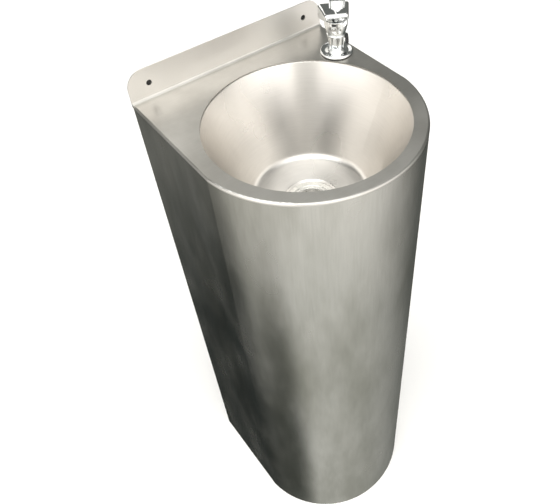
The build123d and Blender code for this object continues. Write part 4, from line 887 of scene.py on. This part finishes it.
def make_knob(places):
    """The fluted flow knob, with a sunk face and a screwdriver slot."""
    def knurl(radius, height, angle):
        flute = math.cos(KNOB_FLUTES * angle)
        return radius - KNOB_FLUTE_DEPTH * smooth_share(radius, 5.5, 7.0) * max(0, flute) ** 1.5

    profile = rounded([
        (0, KNOB_START, 0), (KNOB_RADIUS, KNOB_START, 0.4), (KNOB_RADIUS, KNOB_END, 0.7),
        (5.2, KNOB_END, 0.3),
        (4.8, KNOB_FACE, 0.3), (0, KNOB_FACE, 0),
    ], closed=False)
    knob = loose("flow_knob_grip", turned(profile, 144, closed=False, knurl=knurl))
    carve(knob, loose("slot", block(KNOB_SLOT, (0, 0, 16.5))))
    settle(knob, places["knob"], "regulator", "black_plastic", ["flow_knob"])


SPRING_FOOT, SPRING_TOP, SPRING_RADIUS, SPRING_WIRE = 58.5, 71.0, 5.0, 0.5
SPRING_TURNS = 5


def make_spring(places):
    """Turns of wire, closer at the ends."""
    curve = bpy.data.curves.new("return_coil", "CURVE")
    curve.dimensions = "3D"
    line = curve.splines.new("POLY")
    steps = SPRING_TURNS * 36
    line.points.add(steps)
    for step in range(steps + 1):
        share = step / steps
        rise = smooth_share(share, 0, 1) * 0.35 + share * 0.65
        angle = 2 * math.pi * SPRING_TURNS * share
        height = SPRING_FOOT + (SPRING_TOP - SPRING_FOOT) * rise
        line.points[step].co = (SPRING_RADIUS * math.cos(angle), SPRING_RADIUS * math.sin(angle), height, 1)
    curve.bevel_depth = SPRING_WIRE
    curve.bevel_resolution = 3
    curve.use_fill_caps = True
    source = bpy.data.objects.new("coil_source", curve)
    bpy.context.collection.objects.link(source)
    bpy.context.view_layer.update()
    mesh = bpy.data.meshes.new_from_object(source.evaluated_get(bpy.context.evaluated_depsgraph_get()))
    bpy.data.objects.remove(source)
    coil = bpy.data.objects.new("return_coil", mesh)
    bpy.context.collection.objects.link(coil)
    settle(coil, places["column"], "root", "screw_steel", ["return_spring"])
    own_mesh(coil)


STRAINER_HOLES, STRAINER_HOLE_RADIUS, STRAINER_PITCH = 8, 2.5, 12.5


def make_strainer():
    """A dished, polished strainer with pressed rings and a ring of holes."""
    low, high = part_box("waste_strainer")
    place = Vector(((low.x + high.x) / 2, (low.y + high.y) / 2, high.z))
    local = frame_of(place, (1, 0, 0), (0, 0, 1))
    upper = rounded([(3.0, -8, 0), (18.6, -8, 2.2), (22.6, -0.9, 1.6), (26.5, -0.9, 0.8), (27.6, 0, 0.8),
                     (34.2, 0, 0.7), (35, -1.5, 0)], closed=False)
    lower = rounded([(33, -1.5, 0), (24.2, -2.4, 1.6), (19.8, -9.5, 1.2), (3.0, -9.5, 0)], closed=False)
    strainer = loose("strainer", turned(upper + lower, 128))
    holes = bmesh.new()
    for step in range(STRAINER_HOLES):
        angle = 2 * math.pi * step / STRAINER_HOLES
        spot = Matrix.Translation((STRAINER_PITCH * math.cos(angle), STRAINER_PITCH * math.sin(angle), -8.5))
        bmesh.ops.create_cone(holes, cap_ends=True, segments=32, radius1=STRAINER_HOLE_RADIUS,
                              radius2=STRAINER_HOLE_RADIUS, depth=6, matrix=spot)
    carve(strainer, loose("holes", holes))
    settle(strainer, local, "root", "waste_steel", ["waste_strainer"])


# ---------------------------------------------------------------- fittings inside the casing
NUT_CHAMFER = 1.3


def make_nut(name, node, axis, corner_axis, flats, bore, lip=0.4, mouth=None):
    """A hexagon nut with turned chamfers; lip is the depth of the narrow bore at its foot."""
    low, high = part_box(node)
    up = Vector(axis)
    length = abs((high - low).dot(up)) / MM
    place = (low + high) / 2 - up * length / 2 * MM
    mouth = mouth or bore + 0.4
    corner = flats / math.sqrt(3)
    face = flats / 2 * 1.01
    point = corner + 0.01
    profile = [
        (bore, 0), (face, 0), (point, NUT_CHAMFER), (point, length - NUT_CHAMFER), (face, length),
        (mouth + 0.3, length), (mouth, length - 0.3), (mouth, lip), (bore, lip),
    ]
    nut = loose(name, turned([Vector(spot) for spot in profile], 96))
    hexagon = bmesh.new()
    middle = Matrix.Translation((0, 0, length / 2)) @ Matrix.Rotation(math.radians(30), 4, "Z")
    bmesh.ops.create_cone(hexagon, cap_ends=True, segments=6, radius1=corner, radius2=corner,
                          depth=length + 2, matrix=middle)
    reach = max(vert.co.x for vert in hexagon.verts)
    if reach < corner - 0.1:
        bmesh.ops.rotate(hexagon, matrix=Matrix.Rotation(math.radians(30), 3, "Z"), verts=hexagon.verts)
    carve(nut, loose("hexagon", hexagon), "INTERSECT")
    settle(nut, frame_of(place, corner_axis, up), "root", "brass", [node], sharp=25)


INLET_THREAD = (10.1, 10.7, 1.8, 0.8, 17, 9.6)     # root, crest, pitch, start, end, bore


def make_inlet_thread():
    """Rolled thread on the supply end of the stop valve."""
    low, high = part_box("stop_valve_body")
    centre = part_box("stop_valve_ball")
    middle = (centre[0] + centre[1]) / 2
    place = Vector((middle.x, high.y, middle.z))
    sleeve = loose("inlet_thread", threaded(*INLET_THREAD, steps=96))
    settle(sleeve, frame_of(place, (1, 0, 0), (0, -1, 0)), "root", "nickel_brass")


HOLE_ACROSS, HOLE_HEIGHT = 0.127, 0.922             # metres
# radius and gap of the dark discs that paint the shade seen through the fixing holes
HOLE_SHADE_RADIUS, HOLE_SHADE_GAP = 0.0046, 0.0004    # metres


def make_hole_shade_discs():
    """Painted shade: dark discs just behind the two fixing holes, so that the holes read dark though there is no
    wall behind them.
    """
    material, tree, shader = new_material("painted_hole_shade")
    shade = stretched_noise(tree, (60, 60, 60))
    colour = link_mix(tree, shade, (0.012, 0.012, 0.012), (0.03, 0.03, 0.028))
    tree.links.new(colour, shader.inputs["Base Color"])
    shader.inputs["Roughness"].default_value = 0.9
    for side in (-1, 1):
        disc = bmesh.new()
        bmesh.ops.create_circle(disc, cap_ends=True, segments=32, radius=HOLE_SHADE_RADIUS)
        place = frame_of((side * HOLE_ACROSS, cad_high.y + HOLE_SHADE_GAP, HOLE_HEIGHT), (1, 0, 0), (0, -1, 0))
        back = loose("hole_shade_disc", disc, place)
        back.data.materials.append(material)


make_camera()
make_world()
make_lights()
make_floor()
make_backdrop()
materials = make_materials()
dress_nodes(materials)
tap = bubbler_frames()
make_bubbler_body(tap)
make_flange(tap)
make_guard(tap)
make_collar(tap)
make_button(tap)
make_nozzle(tap)
make_knob(tap)
make_spring(tap)
make_strainer()
X, Y, Z = (1, 0, 0), (0, 1, 0), (0, 0, 1)
make_nut("shank_hexagon", "shank_nut", Z, Y, 24, 9.05)
make_nut("tail_hexagon", "tail_nut", Z, Y, 22, 5.2, 4, 9.1)
make_nut("valve_hexagon", "valve_tube_nut", (0, 0, -1), X, 22, 5.2, 4, 9.1)
make_nut("inlet_hexagon", "inlet_locknut", Y, X, 28, 10.5)
make_inlet_thread()
make_hole_shade_discs()
